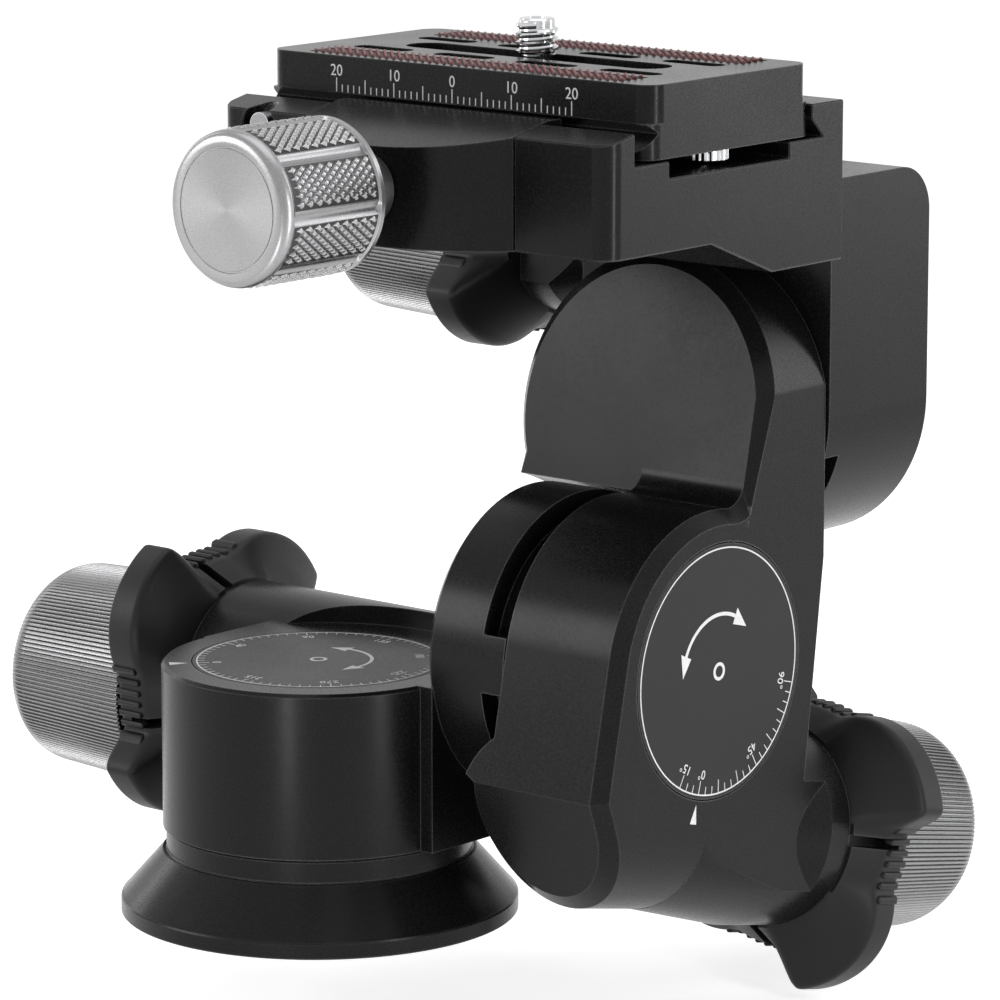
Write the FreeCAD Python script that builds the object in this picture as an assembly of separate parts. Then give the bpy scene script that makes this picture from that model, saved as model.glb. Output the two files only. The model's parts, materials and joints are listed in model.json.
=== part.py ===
"""Geared tripod head: three worm-driven axes stacked on a round foot, with a screw-knob clamp on top.

Frame: origin at the centre of the foot's underside, on the pan axis, +Z up.
+X is the tilt axis and the direction in which the quick-release plate slides.
-Y is the side on which the clamp knob points.  Millimetres and degrees.
"""
import FreeCAD, Part
import math
import os

from FreeCAD import Matrix, Placement, Rotation, Vector

# ---------------------------------------------------------------- shared by the three geared axes
DRUM_RADIUS = 23.6
DRUM_CHAMFER = 2.0
RUNNING_GAP = 0.05            # radial clearance of a shaft in its bearing
FIT_GAP = 0.05                # radial clearance of parts that are fixed in each other
JOINT_GAP = 0.3               # between bodies that pass each other
WHEEL_TEETH = 60
WHEEL_WIDTH = 7.0
WHEEL_TOOTH_SHARE = 0.3       # width of a tooth's tip as a share of the pitch
WHEEL_WALL = 0.5              # wheel tip to the wall of its cavity
HUB_RADIUS = 12.0
SHAFT_RADIUS = 8.0
BLIND_WALL = 3.0             # wall left behind a spindle's fixed end
DIAL_RADIUS = 18.9
DIAL_THICKNESS = 1.6
DIAL_RECESS_WALL = 0.2

# worm and eccentric release sleeve, in the drive's own frame
WORM_PITCH_RADIUS = 4.5
WORM_HALF_LENGTH = 8.0
WORM_MESH_GAP = 0.15
WORM_SHAFT_RADIUS = 3.0
SLEEVE_RADIUS = 10.4
SLEEVE_INNER_END = 11.0
SLEEVE_BORE_RELIEF = 0.5
WINDOW_LEAN = 30.0            # lean of the end walls of the sleeve's window
ECCENTRIC_THROW = 2.8
RELEASE_TWIST = 32.0
TUBE_RADIUS = 13.06
TUBE_BAND_RADIUS = 15.5
TUBE_BAND_WIDTH = 5.5
TUBE_FLARE_LENGTH = 6.0

# release collar
COLLAR_LENGTH = 10.6
COLLAR_DISH_LENGTH = 5.0
COLLAR_RING_RADIUS = 16.0
COLLAR_TIP_RADIUS = 25.4
COLLAR_VALLEY_RADIUS = 19.3
COLLAR_LOBES = 4
COLLAR_TIP_SPAN = 26.0        # angle of a lobe's full radius
COLLAR_RISE_SPAN = 26.0       # angle of its gentle flank
COLLAR_STEEP_SPAN = 7.0       # angle of its steep flank
COLLAR_TIP_STEPS = 5
COLLAR_RISE_STEPS = 4
COLLAR_RIBS = 8               # in each valley
COLLAR_RIB_DEPTH = 0.6
COLLAR_EDGE = 0.7
COLLAR_SLOT_WIDTH = 1.7
COLLAR_SLOT_ANGLE = 12.0      # from a steep flank back into the valley
COLLAR_SLOT_FLOOR = 2.0
# angle of one steep flank in each drive's own frame
PAN_COLLAR_ANGLE = -114.0
TILT_COLLAR_ANGLE = -10.5
ROLL_COLLAR_ANGLE = -24.0

# drive knob
KNOB_GAP = 2.0                # collar to knob
KNOB_LENGTH = 26.5
KNOB_INNER_RADIUS = 17.2
KNOB_OUTER_RADIUS = 16.2
KNOB_EDGE_RADIUS = 14.6
KNOB_FACE_RADIUS = 12.4
KNOB_EDGE_LENGTH = 1.2
KNOB_ROUND_LENGTH = 3.6
KNOB_RIBS = 44
KNOB_RIB_SHARE = 0.02         # depth of a rib as a share of the radius
KNOB_BORE_DEPTH = 10.0

# ---------------------------------------------------------------- foot
FOOT_RIM_RADIUS = 30.0
FOOT_RIM_HEIGHT = 2.4
FOOT_BEVEL = 0.5
FOOT_CONE_TOP = 9.6
FOOT_NECK_STEP = 0.5
FOOT_TOP = 12.9
THREAD_BORE_RADIUS = 4.0      # 3/8-16 tapped hole, at the crest
THREAD_DEPTH = 12.0

# ---------------------------------------------------------------- pan body
PAN_BOTTOM = 13.2
PAN_TOP = 38.2
PAN_TOP_CHAMFER = 0.5
PAN_TUBE_OFFSET = 0.6         # of the worm tube's axis, outside the drum's rim
PAN_ECCENTRIC_ANGLE = 180.0
PAN_TUBE_END_X = -36.5
PAN_TUBE_INNER_X = 27.5
PAN_DIAL_CLEARANCE_RADIUS = 25.2
BLOCK_FRONT_Y = -3.6
TILT_AXIS_Y = 20.0
TILT_AXIS_Z = 41.8
CHEEK_LEFT_X = 23.6
CHEEK_RIGHT_X = 39.2
CHEEK_BEVEL = 1.8
STOP_DEPTH = 3.5
STOP_FLOOR_GAP = 0.35
CHEEK_REBATE_WIDTH = 4.3
STOP_KEY_WIDTH = 2.0
TILT_DOWN_LIMIT = 15.0
TILT_UP_LIMIT = 90.0
TILT_LUG_START = 83.0
TILT_LUG_END = 104.0
STOP_ANGLE_GAP = 0.5

# ---------------------------------------------------------------- tilt body
TILT_SLANT = 12.0
TILT_FACE_X = 60.44
TILT_TUBE_OFFSET = 0.4        # of the worm tube's axis, outside the drum's rim
TILT_ECCENTRIC_ANGLE = 180.0
TILT_CREASE_DROP = 20.5
TILT_NOSE_SLANT = 20.0
TILT_TUBE_END = 34.8
ARM_BACK_Y = 45.1
ARM_BACK_BEND_Z = 54.9
ARM_HEEL_Y = 40.9
ARM_HEEL_Z = 21.6
ROLL_AXIS_X = 37.3
ROLL_AXIS_Z = 76.0
ARM_FACE_Y = 29.8             # front face of the arm at the roll axis
CHEEK_CLEARANCE = 0.5

# ---------------------------------------------------------------- roll body
ROLL_FRONT_Y = 45.5
ROLL_BACK_Y = 70.0
ROLL_TOP_Z = 111.3
ROLL_TUBE_Y = 58.0
ROLL_TUBE_END_X = 1.3
ROLL_CORNER = 7.0
ROLL_LIMIT = 30.0
ROLL_REBATE_HALF_ANGLE = 74.0
ROLL_REBATE_WIDTH = 3.6
ROLL_ECCENTRIC_ANGLE = -115.0
NECK_BOTTOM_Z = 100.4

# ---------------------------------------------------------------- clamp
CLAMP_LENGTH = 72.0
CLAMP_FRONT_Y = -22.0
CLAMP_BACK_Y = 31.4
CLAMP_TOP_Z = 125.4
CLAMP_FLOOR_Z = 120.5
CLAMP_UNDERSIDE_Z = 107.9
CLAMP_HEEL_Z = 102.4
CLAMP_STEP_START_Y = 1.0
CLAMP_STEP_END_Y = 15.0
CLAMP_TOP_SLOPE = 12.0
CLAMP_SLOPE_START_Y = -14.5
RECESS_FRONT_Y = -8.5
RECESS_BACK_Y = 18.7
RECESS_FLOOR_Z = 118.2
FRONT_WALL_Y = -16.1
BLOCK_CORNER = 3.0
JAW_HALF_WIDTH = 19.4
JAW_BULGE = 8.6
JAW_BACK_GAP = 0.4
PIN_HOLE_INSET = 7.6          # from the left end of the clamp
PIN_HOLE_Z = 121.6
PIN_HOLE_RADIUS = 3.0
LOCK_PIN_RADIUS = 1.8
LOCK_PIN_GUIDE_LENGTH = 2.0
GUIDE_PIN_SPACING = 26.0
GUIDE_PIN_RADIUS = 2.0
GUIDE_PIN_Z = 113.0
GUIDE_PIN_REACH = 10.0
CLAMP_SCREW_RADIUS = 2.5
CLAMP_SCREW_Z = 116.0
CLAMP_SCREW_GRIP = 7.0
CLAMP_BUSH_RADIUS = 5.0
CLAMP_BUSH_LENGTH = 8.0
CLAMP_KNOB_RADIUS = 11.0
CLAMP_KNOB_LENGTH = 20.4
CLAMP_KNOB_EDGE = 1.0
CLAMP_KNOB_RIM = 1.0
CLAMP_KNOB_PADS = 6
CLAMP_KNOB_PAD_STEPS = 5
CLAMP_KNOB_GROOVE_SPAN = 22.0  # angle of a smooth groove between two pads
CLAMP_KNOB_GROOVE_STEPS = 4
CLAMP_KNOB_GROOVE_DEPTH = 0.7
KNOB_BACK_GAP = 0.1

# ---------------------------------------------------------------- quick-release plate
PLATE_LENGTH = 70.8
PLATE_Y = 6.2
PLATE_BODY_WIDTH = 36.4
PLATE_FLANGE_WIDTH = 38.0
PLATE_BOTTOM_Z = 120.8
PLATE_TOP_Z = 131.2
PLATE_FLANGE_HEIGHT = 1.1
PLATE_NOTCH_DEPTH = 2.6
PLATE_BODY_BOTTOM_Z = 125.8
PLATE_CORNER = 3.0
PLATE_SLIDE_GAP = 0.15
LIP_NOSE_INSET = 0.4
CAMERA_SLOT_LENGTH = 40.0
CAMERA_SLOT_WIDTH = 6.8
CAMERA_SCREW_RADIUS = 3.1
CAMERA_SCREW_RISE = 5.5
CAMERA_SCREW_NECK_RADIUS = 2.6
CAMERA_THREAD_START = 0.4     # above the plate's top
CAMERA_HEAD_RADIUS = 7.0
CAMERA_HEAD_HEIGHT = 3.0
RUBBER_WIDTH = 6.0
RUBBER_LENGTH = 58.0
RUBBER_THICKNESS = 1.0
RUBBER_SINK = 0.6
RUBBER_EDGE = 1.6
STOP_SCREW_RADIUS = 3.0
STOP_SCREW_HEAD_HEIGHT = 2.0
STOP_SCREW_SHANK_RADIUS = 1.5
STOP_SCREW_SHANK_LENGTH = 3.5
STOP_SCREW_SPACING = 62.0

# ---------------------------------------------------------------- worked out
X_AXIS = Vector(1, 0, 0)
Y_AXIS = Vector(0, 1, 0)
Z_AXIS = Vector(0, 0, 1)
FAR = 200.0
OVERCUT = 1.0                 # how far a cutter starts outside what it cuts
NEAR = 1.0                    # margin within which an edge counts as lying at a place
PAN_TUBE_Y = DRUM_RADIUS + PAN_TUBE_OFFSET
PAN_TUBE_Z = (PAN_BOTTOM + PAN_TOP) / 2
TILT_AXIS = Vector(0, TILT_AXIS_Y, TILT_AXIS_Z)
ROLL_AXIS = Vector(ROLL_AXIS_X, 0, ROLL_AXIS_Z)
TILT_TUBE_X = TILT_FACE_X - TUBE_RADIUS
TILT_TUBE_REACH = DRUM_RADIUS + TILT_TUBE_OFFSET
ROLL_TUBE_REACH = DRUM_RADIUS
SLANT = math.radians(TILT_SLANT)
CLAMP_LEFT_X = ROLL_AXIS_X - CLAMP_LENGTH / 2
CLAMP_RIGHT_X = ROLL_AXIS_X + CLAMP_LENGTH / 2
PIN_HOLE_X = CLAMP_LEFT_X + PIN_HOLE_INSET
KEY_OUTER = DRUM_RADIUS
KEY_INNER = DRUM_RADIUS - STOP_DEPTH + STOP_FLOOR_GAP


# ================================================================ small helpers
def cylinder(radius, length, start, direction):
    """Solid cylinder from a start point along a direction."""
    return Part.makeCylinder(radius, length, start, direction)


def ring(outer, inner, length, start, direction):
    """Plain ring from a start point along a direction."""
    return cylinder(outer, length, start, direction).cut(cylinder(inner, length, start, direction))


def box(low, high):
    """Box between two corners."""
    return Part.makeBox(high[0] - low[0], high[1] - low[1], high[2] - low[2], Vector(*low))


def turned(profile, start=Vector(), direction=Z_AXIS):
    """Body of revolution from (radius, height) points, standing on start along direction."""
    points = [Vector(radius, 0, height) for radius, height in profile]
    face = Part.Face(Part.makePolygon(points + points[:1]))
    solid = face.revolve(Vector(), Z_AXIS, 360)
    solid.Placement = Placement(start, Rotation(Z_AXIS, direction))
    return solid


def slab_x(points, low_x, high_x):
    """Prism with a (y, z) outline between two x positions."""
    corners = [Vector(low_x, y, z) for y, z in points]
    return Part.Face(Part.makePolygon(corners + corners[:1])).extrude(X_AXIS * (high_x - low_x))


def sector(outer, inner, start_angle, end_angle, low, width):
    """Part of a ring about Z: angles from +X towards +Y, heights from low."""
    corners = [Vector(inner, 0, low), Vector(outer, 0, low),
               Vector(outer, 0, low + width), Vector(inner, 0, low + width)]
    face = Part.Face(Part.makePolygon(corners + corners[:1]))
    face.rotate(Vector(), Z_AXIS, start_angle)
    return face.revolve(Vector(), Z_AXIS, end_angle - start_angle)


def frame_from(origin, x_direction, z_direction):
    """Placement whose local X and Z lie along two given directions."""
    y_direction = z_direction.cross(x_direction)
    columns = (x_direction, y_direction, z_direction, origin)
    matrix = Matrix(*[value for row in zip(*[(c.x, c.y, c.z) for c in columns]) for value in row],
                    0, 0, 0, 1)
    return Placement(matrix)


def chamfer_circles(shape, size, chosen):
    """Chamfer the circular edges that the test function picks."""
    edges = [edge for edge in shape.Edges if hasattr(edge.Curve, "Radius") and chosen(edge)]
    return shape.makeChamfer(size, edges)


def polar(radius, angle, height):
    """Point at a radius and an angle about Z."""
    return Vector(radius * math.cos(math.radians(angle)), radius * math.sin(math.radians(angle)), height)


def faceted(sections):
    """Solid with flat facets through closed sections of equally many points, stacked along Z."""
    faces = [Part.Face(Part.makePolygon(section + section[:1])) for section in (sections[0], sections[-1])]
    for lower, upper in zip(sections, sections[1:]):
        for index in range(len(lower)):
            corner = lower[index]
            across = upper[index - 1]
            faces.append(Part.Face(Part.makePolygon([lower[index - 1], corner, across, lower[index - 1]])))
            faces.append(Part.Face(Part.makePolygon([corner, upper[index], across, corner])))
    return Part.Solid(Part.Shell(faces)).removeSplitter()


def export(shapes):
    """Write each node's solid or group of solids to its own file."""
    os.makedirs("parts", exist_ok=True)
    for name, shape in shapes.items():
        shape.exportStep(f"parts/{name}.step")


# ================================================================ one worm drive, in its own frame
# Local frame of a drive: origin on the tube axis nearest to the wheel's axis, +Z out along the
# tube towards the knob, +X along the wheel's axis, +Y away from the wheel.
class Drive:
    """Sizes and placement of one axis's worm drive."""

    def __init__(self, origin, wheel_direction, tube_direction, reach, tube_end, eccentric_angle,
                 collar_angle):
        self.placement = frame_from(origin, wheel_direction, tube_direction)
        self.reach = reach
        self.tube_end = tube_end
        self.collar_angle = collar_angle
        angle = math.radians(eccentric_angle)
        self.worm_x = ECCENTRIC_THROW * math.cos(angle)
        self.worm_y = ECCENTRIC_THROW * math.sin(angle)
        self.worm_start = Vector(self.worm_x, self.worm_y, 0)
        self.wheel_pitch_radius = reach + self.worm_y - WORM_PITCH_RADIUS
        self.tooth = self.wheel_pitch_radius * 2 / WHEEL_TEETH
        self.wheel_tip_radius = self.wheel_pitch_radius + self.tooth
        self.cavity_radius = self.wheel_tip_radius + WHEEL_WALL
        self.collar_start = tube_end + JOINT_GAP
        self.knob_start = self.collar_start + COLLAR_LENGTH + KNOB_GAP

    def placed(self, shape):
        """Move a shape from the drive's frame to the head's frame."""
        moved = shape.copy()
        moved.Placement = self.placement.multiply(moved.Placement)
        return moved


def wheel_teeth(drive):
    """Toothed disc about Z, centred on z = 0."""
    tip = drive.wheel_tip_radius
    root = drive.wheel_pitch_radius - drive.tooth - WORM_MESH_GAP
    step = 360 / WHEEL_TEETH
    low = -WHEEL_WIDTH / 2
    points = []
    for index in range(WHEEL_TEETH):
        middle = index * step
        points.append(polar(root, middle - step / 2, low))
        points.append(polar(tip, middle - WHEEL_TOOTH_SHARE * step / 2, low))
        points.append(polar(tip, middle + WHEEL_TOOTH_SHARE * step / 2, low))
    return Part.Face(Part.makePolygon(points + points[:1])).extrude(Z_AXIS * WHEEL_WIDTH)


def sleeve(drive):
    """Eccentric sleeve that carries the worm, with the window through which the worm meets its wheel."""
    length = SLEEVE_INNER_END + drive.collar_start + COLLAR_LENGTH
    inner_end = Vector(0, 0, -SLEEVE_INNER_END)
    body = cylinder(SLEEVE_RADIUS, length, inner_end, Z_AXIS)
    body = body.cut(cylinder(WORM_SHAFT_RADIUS + RUNNING_GAP, length, drive.worm_start + inner_end, Z_AXIS))
    chamber_radius = WORM_PITCH_RADIUS + drive.tooth + SLEEVE_BORE_RELIEF
    chamber_length = SLEEVE_INNER_END + WORM_HALF_LENGTH + JOINT_GAP
    body = body.cut(cylinder(chamber_radius, chamber_length, drive.worm_start + inner_end, Z_AXIS))
    for twist in (0, RELEASE_TWIST):
        room = wheel_room(drive)
        room.rotate(Vector(), Z_AXIS, twist)
        body = body.cut(room)
    return body


def wheel_room(drive):
    """Flat-sided room round the wheel's cavity, cut from the sleeve, in the drive's frame."""
    half = WHEEL_WIDTH / 2 + JOINT_GAP
    radius = drive.cavity_radius
    lean = math.radians(WINDOW_LEAN)
    top = radius - drive.reach
    corner = radius * math.tan(lean / 2)
    side = (radius - (drive.reach - SLEEVE_RADIUS) * math.cos(lean)) / math.sin(lean)
    outline = [(top, -corner), (top, corner), (-SLEEVE_RADIUS, side),
               (-FAR, side), (-FAR, -side), (-SLEEVE_RADIUS, -side)]
    return slab_x(outline, drive.worm_x - half, drive.worm_x + half)


def cheek_room(drive):
    """Flat-sided room beside the tilt sleeve, where the drum that the housing turns against passes."""
    side = TILT_TUBE_X - CHEEK_RIGHT_X - JOINT_GAP
    drum = DRUM_RADIUS + CHEEK_CLEARANCE
    half_length = math.sqrt(drum ** 2 - (drive.reach - SLEEVE_RADIUS) ** 2)
    room = box((-FAR, -FAR, -FAR), (-side, FAR, half_length))
    turned_room = room.copy()
    turned_room.rotate(Vector(), Z_AXIS, RELEASE_TWIST)
    return room.fuse(turned_room)


def tube_bore(drive):
    """Bore for the sleeve, closed at the inner end."""
    length = SLEEVE_INNER_END + JOINT_GAP + drive.tube_end
    return cylinder(SLEEVE_RADIUS + RUNNING_GAP, length, Vector(0, 0, -SLEEVE_INNER_END - JOINT_GAP), Z_AXIS)


def flared_tube(drive, inner_end):
    """Outside of a worm tube: plain barrel, flare and end band."""
    band_start = drive.tube_end - TUBE_BAND_WIDTH
    flare_start = band_start - TUBE_FLARE_LENGTH
    profile = [(0, -inner_end), (TUBE_RADIUS, -inner_end), (TUBE_RADIUS, flare_start),
               (TUBE_BAND_RADIUS, band_start), (TUBE_BAND_RADIUS, drive.tube_end), (0, drive.tube_end)]
    return turned(profile)


def collar_section(height, inset):
    """Outline of the collar's lobes at a height, drawn in by an inset: steep flank, ribbed valley,
    gentle flank and full radius, four times over."""
    tip = COLLAR_TIP_RADIUS - inset
    valley = COLLAR_VALLEY_RADIUS - inset
    pitch = 360 / COLLAR_LOBES
    rib_span = (pitch - COLLAR_STEEP_SPAN - COLLAR_RISE_SPAN - COLLAR_TIP_SPAN) / (2 * COLLAR_RIBS)
    points = []
    for lobe in range(COLLAR_LOBES):
        angle = lobe * pitch
        points.append(polar(tip, angle, height))
        angle += COLLAR_STEEP_SPAN
        for half_rib in range(2 * COLLAR_RIBS):
            points.append(polar(valley - COLLAR_RIB_DEPTH * (half_rib % 2), angle, height))
            angle += rib_span
        for step in range(COLLAR_RISE_STEPS):
            share = (1 - math.cos(math.pi * step / COLLAR_RISE_STEPS)) / 2
            points.append(polar(valley + (tip - valley) * share, angle, height))
            angle += COLLAR_RISE_SPAN / COLLAR_RISE_STEPS
        for step in range(COLLAR_TIP_STEPS):
            points.append(polar(tip, angle, height))
            angle += COLLAR_TIP_SPAN / COLLAR_TIP_STEPS
    return points


def collar_ring(outline):
    """Circle of points at the same angles as an outline, on the plane of the tube's end."""
    return [Vector(point.x, point.y, 0).normalize() * COLLAR_RING_RADIUS for point in outline]


def collar(drive):
    """Release collar, fixed on the outer end of the sleeve: a dished web that opens into four lobes."""
    sections = [collar_section(COLLAR_DISH_LENGTH, 0), collar_section(COLLAR_LENGTH - COLLAR_EDGE, 0),
                collar_section(COLLAR_LENGTH, COLLAR_EDGE)]
    body = faceted([collar_ring(sections[0])] + sections)
    slot_end = COLLAR_LENGTH - COLLAR_SLOT_FLOOR
    for lobe in range(COLLAR_LOBES):
        cutter = box((COLLAR_RING_RADIUS, -COLLAR_SLOT_WIDTH / 2, 0), (FAR, COLLAR_SLOT_WIDTH / 2, slot_end))
        cutter.rotate(Vector(), Z_AXIS, COLLAR_SLOT_ANGLE + lobe * 360 / COLLAR_LOBES)
        body = body.cut(cutter)
    body = body.cut(cylinder(SLEEVE_RADIUS + FIT_GAP, COLLAR_LENGTH, Vector(), Z_AXIS))
    body.rotate(Vector(), Z_AXIS, drive.collar_angle)
    body.translate(Z_AXIS * drive.collar_start)
    return body


def worm_shaft(drive):
    """Worm and its shaft, out to the knob."""
    inner = drive.worm_start + Vector(0, 0, -SLEEVE_INNER_END)
    length = SLEEVE_INNER_END + drive.knob_start + KNOB_BORE_DEPTH
    shaft = cylinder(WORM_SHAFT_RADIUS, length, inner, Z_AXIS)
    root = WORM_PITCH_RADIUS - drive.tooth - WORM_MESH_GAP
    blank = cylinder(root, 2 * WORM_HALF_LENGTH, drive.worm_start + Vector(0, 0, -WORM_HALF_LENGTH), Z_AXIS)
    return shaft.fuse(blank).removeSplitter()


def knob_section(radius, rib_share, height):
    """Outline of the knob at a height, with a shallow rib at every step."""
    step = 360 / KNOB_RIBS
    points = []
    for index in range(KNOB_RIBS):
        points.append(polar(radius, index * step, height))
        points.append(polar(radius * (1 - rib_share), (index + 0.5) * step, height))
    return points


def knob(drive):
    """Ribbed and tapered drive knob with a rounded end, on the worm shaft."""
    start = drive.worm_start + Vector(0, 0, drive.knob_start)
    body = faceted([knob_section(KNOB_INNER_RADIUS, KNOB_RIB_SHARE, 0),
                    knob_section(KNOB_OUTER_RADIUS, KNOB_RIB_SHARE, KNOB_LENGTH - KNOB_ROUND_LENGTH),
                    knob_section(KNOB_EDGE_RADIUS, 0, KNOB_LENGTH - KNOB_EDGE_LENGTH),
                    knob_section(KNOB_FACE_RADIUS, 0, KNOB_LENGTH)])
    body.translate(start)
    return body.cut(cylinder(WORM_SHAFT_RADIUS + FIT_GAP, KNOB_BORE_DEPTH, start, Z_AXIS))


def drive_nodes(name, drive):
    """The moving pieces of one drive, as named nodes."""
    return {
        f"{name}_sleeve": drive.placed(sleeve(drive)),
        f"{name}_collar": drive.placed(collar(drive)),
        f"{name}_worm_shaft": drive.placed(worm_shaft(drive)),
        f"{name}_knob": drive.placed(knob(drive)),
    }


PAN_DRIVE = Drive(Vector(0, PAN_TUBE_Y, PAN_TUBE_Z), Z_AXIS, -X_AXIS,
                  PAN_TUBE_Y, -PAN_TUBE_END_X, PAN_ECCENTRIC_ANGLE, PAN_COLLAR_ANGLE)
TILT_REACH_DIRECTION = Vector(0, -math.sin(SLANT), -math.cos(SLANT))
TILT_TUBE_DIRECTION = Vector(0, math.cos(SLANT), -math.sin(SLANT))
TILT_FOOT = TILT_AXIS + TILT_REACH_DIRECTION * TILT_TUBE_REACH + X_AXIS * TILT_TUBE_X
TILT_DRIVE = Drive(TILT_FOOT, X_AXIS, TILT_TUBE_DIRECTION, TILT_TUBE_REACH,
                   TILT_TUBE_END, TILT_ECCENTRIC_ANGLE, TILT_COLLAR_ANGLE)
ROLL_FOOT = Vector(ROLL_AXIS_X, ROLL_TUBE_Y, ROLL_AXIS_Z + ROLL_TUBE_REACH)
ROLL_DRIVE = Drive(ROLL_FOOT, -Y_AXIS, -X_AXIS, ROLL_TUBE_REACH,
                   ROLL_AXIS_X - ROLL_TUBE_END_X, ROLL_ECCENTRIC_ANGLE, ROLL_COLLAR_ANGLE)


# ================================================================ one wheel stack, in its own frame
# Local frame of a stack: +Z along the wheel's axis towards the dial, z = 0 at the joint face of the
# body that carries the spindle.
class Stack:
    """Spindle with its worm wheel, and the dial on its end."""

    def __init__(self, drive, origin, direction, wheel_middle, dial_face, spindle_foot):
        self.drive = drive
        self.placement = Placement(origin, Rotation(Z_AXIS, direction))
        self.wheel_middle = wheel_middle
        self.dial_face = dial_face
        self.spindle_foot = spindle_foot
        self.cavity_top = wheel_middle + WHEEL_WIDTH / 2 + JOINT_GAP
        self.recess_floor = dial_face - DIAL_THICKNESS

    def placed(self, shape):
        """Move a shape from the stack's frame to the head's frame."""
        moved = shape.copy()
        moved.Placement = self.placement.multiply(moved.Placement)
        return moved

    def cavity(self, floor):
        """Everything that is cut from the housing for this stack: wheel room, bearing and dial recess."""
        room_length = self.cavity_top - floor
        wheel_room = cylinder(self.drive.cavity_radius, room_length, Vector(0, 0, floor), Z_AXIS)
        bearing = cylinder(SHAFT_RADIUS + RUNNING_GAP, self.recess_floor, Vector(), Z_AXIS)
        recess = cylinder(DIAL_RADIUS + DIAL_RECESS_WALL, FAR, Vector(0, 0, self.recess_floor), Z_AXIS)
        return self.placed(wheel_room.fuse([bearing, recess]))

    def wheel(self):
        """Worm wheel in one piece with its spindle and hub."""
        teeth = wheel_teeth(self.drive)
        teeth.translate(Vector(0, 0, self.wheel_middle))
        spindle = cylinder(SHAFT_RADIUS, self.recess_floor - self.spindle_foot,
                           Vector(0, 0, self.spindle_foot), Z_AXIS)
        pieces = [spindle]
        hub_length = self.wheel_middle - WHEEL_WIDTH / 2
        if hub_length > 0:
            pieces.append(cylinder(HUB_RADIUS, hub_length, Vector(), Z_AXIS))
        return self.placed(teeth.fuse(pieces).removeSplitter())

    def dial(self):
        """Dial disc on the end of the spindle, flush with the housing's face."""
        return self.placed(cylinder(DIAL_RADIUS, DIAL_THICKNESS, Vector(0, 0, self.recess_floor), Z_AXIS))


def stack_nodes(name, stack):
    """The pieces of one wheel stack, as named nodes."""
    return {f"{name}_worm_wheel": stack.wheel(), f"{name}_dial": stack.dial()}


PAN_STACK = Stack(PAN_DRIVE, Vector(0, 0, FOOT_TOP), Z_AXIS,
                  PAN_TUBE_Z + PAN_DRIVE.worm_x - FOOT_TOP, PAN_TOP - FOOT_TOP, THREAD_DEPTH - FOOT_TOP)
TILT_STACK = Stack(TILT_DRIVE, TILT_AXIS + X_AXIS * CHEEK_RIGHT_X, X_AXIS,
                   TILT_TUBE_X + TILT_DRIVE.worm_x - CHEEK_RIGHT_X, TILT_FACE_X - CHEEK_RIGHT_X,
                   CHEEK_LEFT_X + BLIND_WALL - CHEEK_RIGHT_X)
ROLL_STACK = Stack(ROLL_DRIVE, ROLL_AXIS + Y_AXIS * ARM_BACK_Y, Y_AXIS,
                   ROLL_TUBE_Y - ROLL_DRIVE.worm_x - ARM_BACK_Y, ROLL_BACK_Y - ARM_BACK_Y,
                   ARM_FACE_Y + BLIND_WALL - ARM_BACK_Y)


# ================================================================ foot
def base_flange():
    """Round foot with its cone and neck."""
    neck = DRUM_RADIUS - FOOT_NECK_STEP
    bore = SHAFT_RADIUS + FIT_GAP
    return turned([
        (bore, 0), (FOOT_RIM_RADIUS, 0), (FOOT_RIM_RADIUS, FOOT_RIM_HEIGHT),
        (FOOT_RIM_RADIUS - FOOT_BEVEL, FOOT_RIM_HEIGHT + FOOT_BEVEL), (DRUM_RADIUS, FOOT_CONE_TOP),
        (neck, FOOT_CONE_TOP), (neck, FOOT_TOP), (bore, FOOT_TOP)])


def foot_insert():
    """Steel bush with the tripod thread, under the pan spindle."""
    return ring(SHAFT_RADIUS, THREAD_BORE_RADIUS, THREAD_DEPTH, Vector(), Z_AXIS)


# ================================================================ pan housing
def pan_housing():
    """Drum, worm tube, side block and cheek in one piece."""
    drum = cylinder(DRUM_RADIUS, PAN_TOP - PAN_BOTTOM, Vector(0, 0, PAN_BOTTOM), Z_AXIS)
    drum = chamfer_circles(drum, PAN_TOP_CHAMFER, lambda edge: edge.BoundBox.ZMin > PAN_TOP - NEAR)
    side = box((-DRUM_RADIUS, 0, PAN_BOTTOM), (0, PAN_TUBE_Y, PAN_TOP))
    block = box((0, BLOCK_FRONT_Y, PAN_BOTTOM), (CHEEK_LEFT_X + DRUM_CHAMFER, PAN_TUBE_Y, PAN_TOP))
    tube_length = PAN_TUBE_INNER_X - PAN_TUBE_END_X
    tube = cylinder(TUBE_BAND_RADIUS, tube_length, Vector(PAN_TUBE_END_X, PAN_TUBE_Y, PAN_TUBE_Z), X_AXIS)
    tube = tube.cut(box((-FAR, -FAR, -FAR), (FAR, FAR, PAN_BOTTOM)))
    over_dial = cylinder(PAN_DIAL_CLEARANCE_RADIUS, FAR, Vector(0, 0, PAN_TOP), Z_AXIS)
    tube = tube.cut(over_dial)
    body = drum.fuse([side, block, tube, pan_cheek()]).removeSplitter()
    body = body.cut(PAN_STACK.cavity(-OVERCUT))
    body = body.cut(PAN_DRIVE.placed(tube_bore(PAN_DRIVE)))
    bore_start = TILT_AXIS + X_AXIS * (CHEEK_LEFT_X + BLIND_WALL)
    return body.cut(cylinder(SHAFT_RADIUS + FIT_GAP, FAR, bore_start, X_AXIS))


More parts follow.
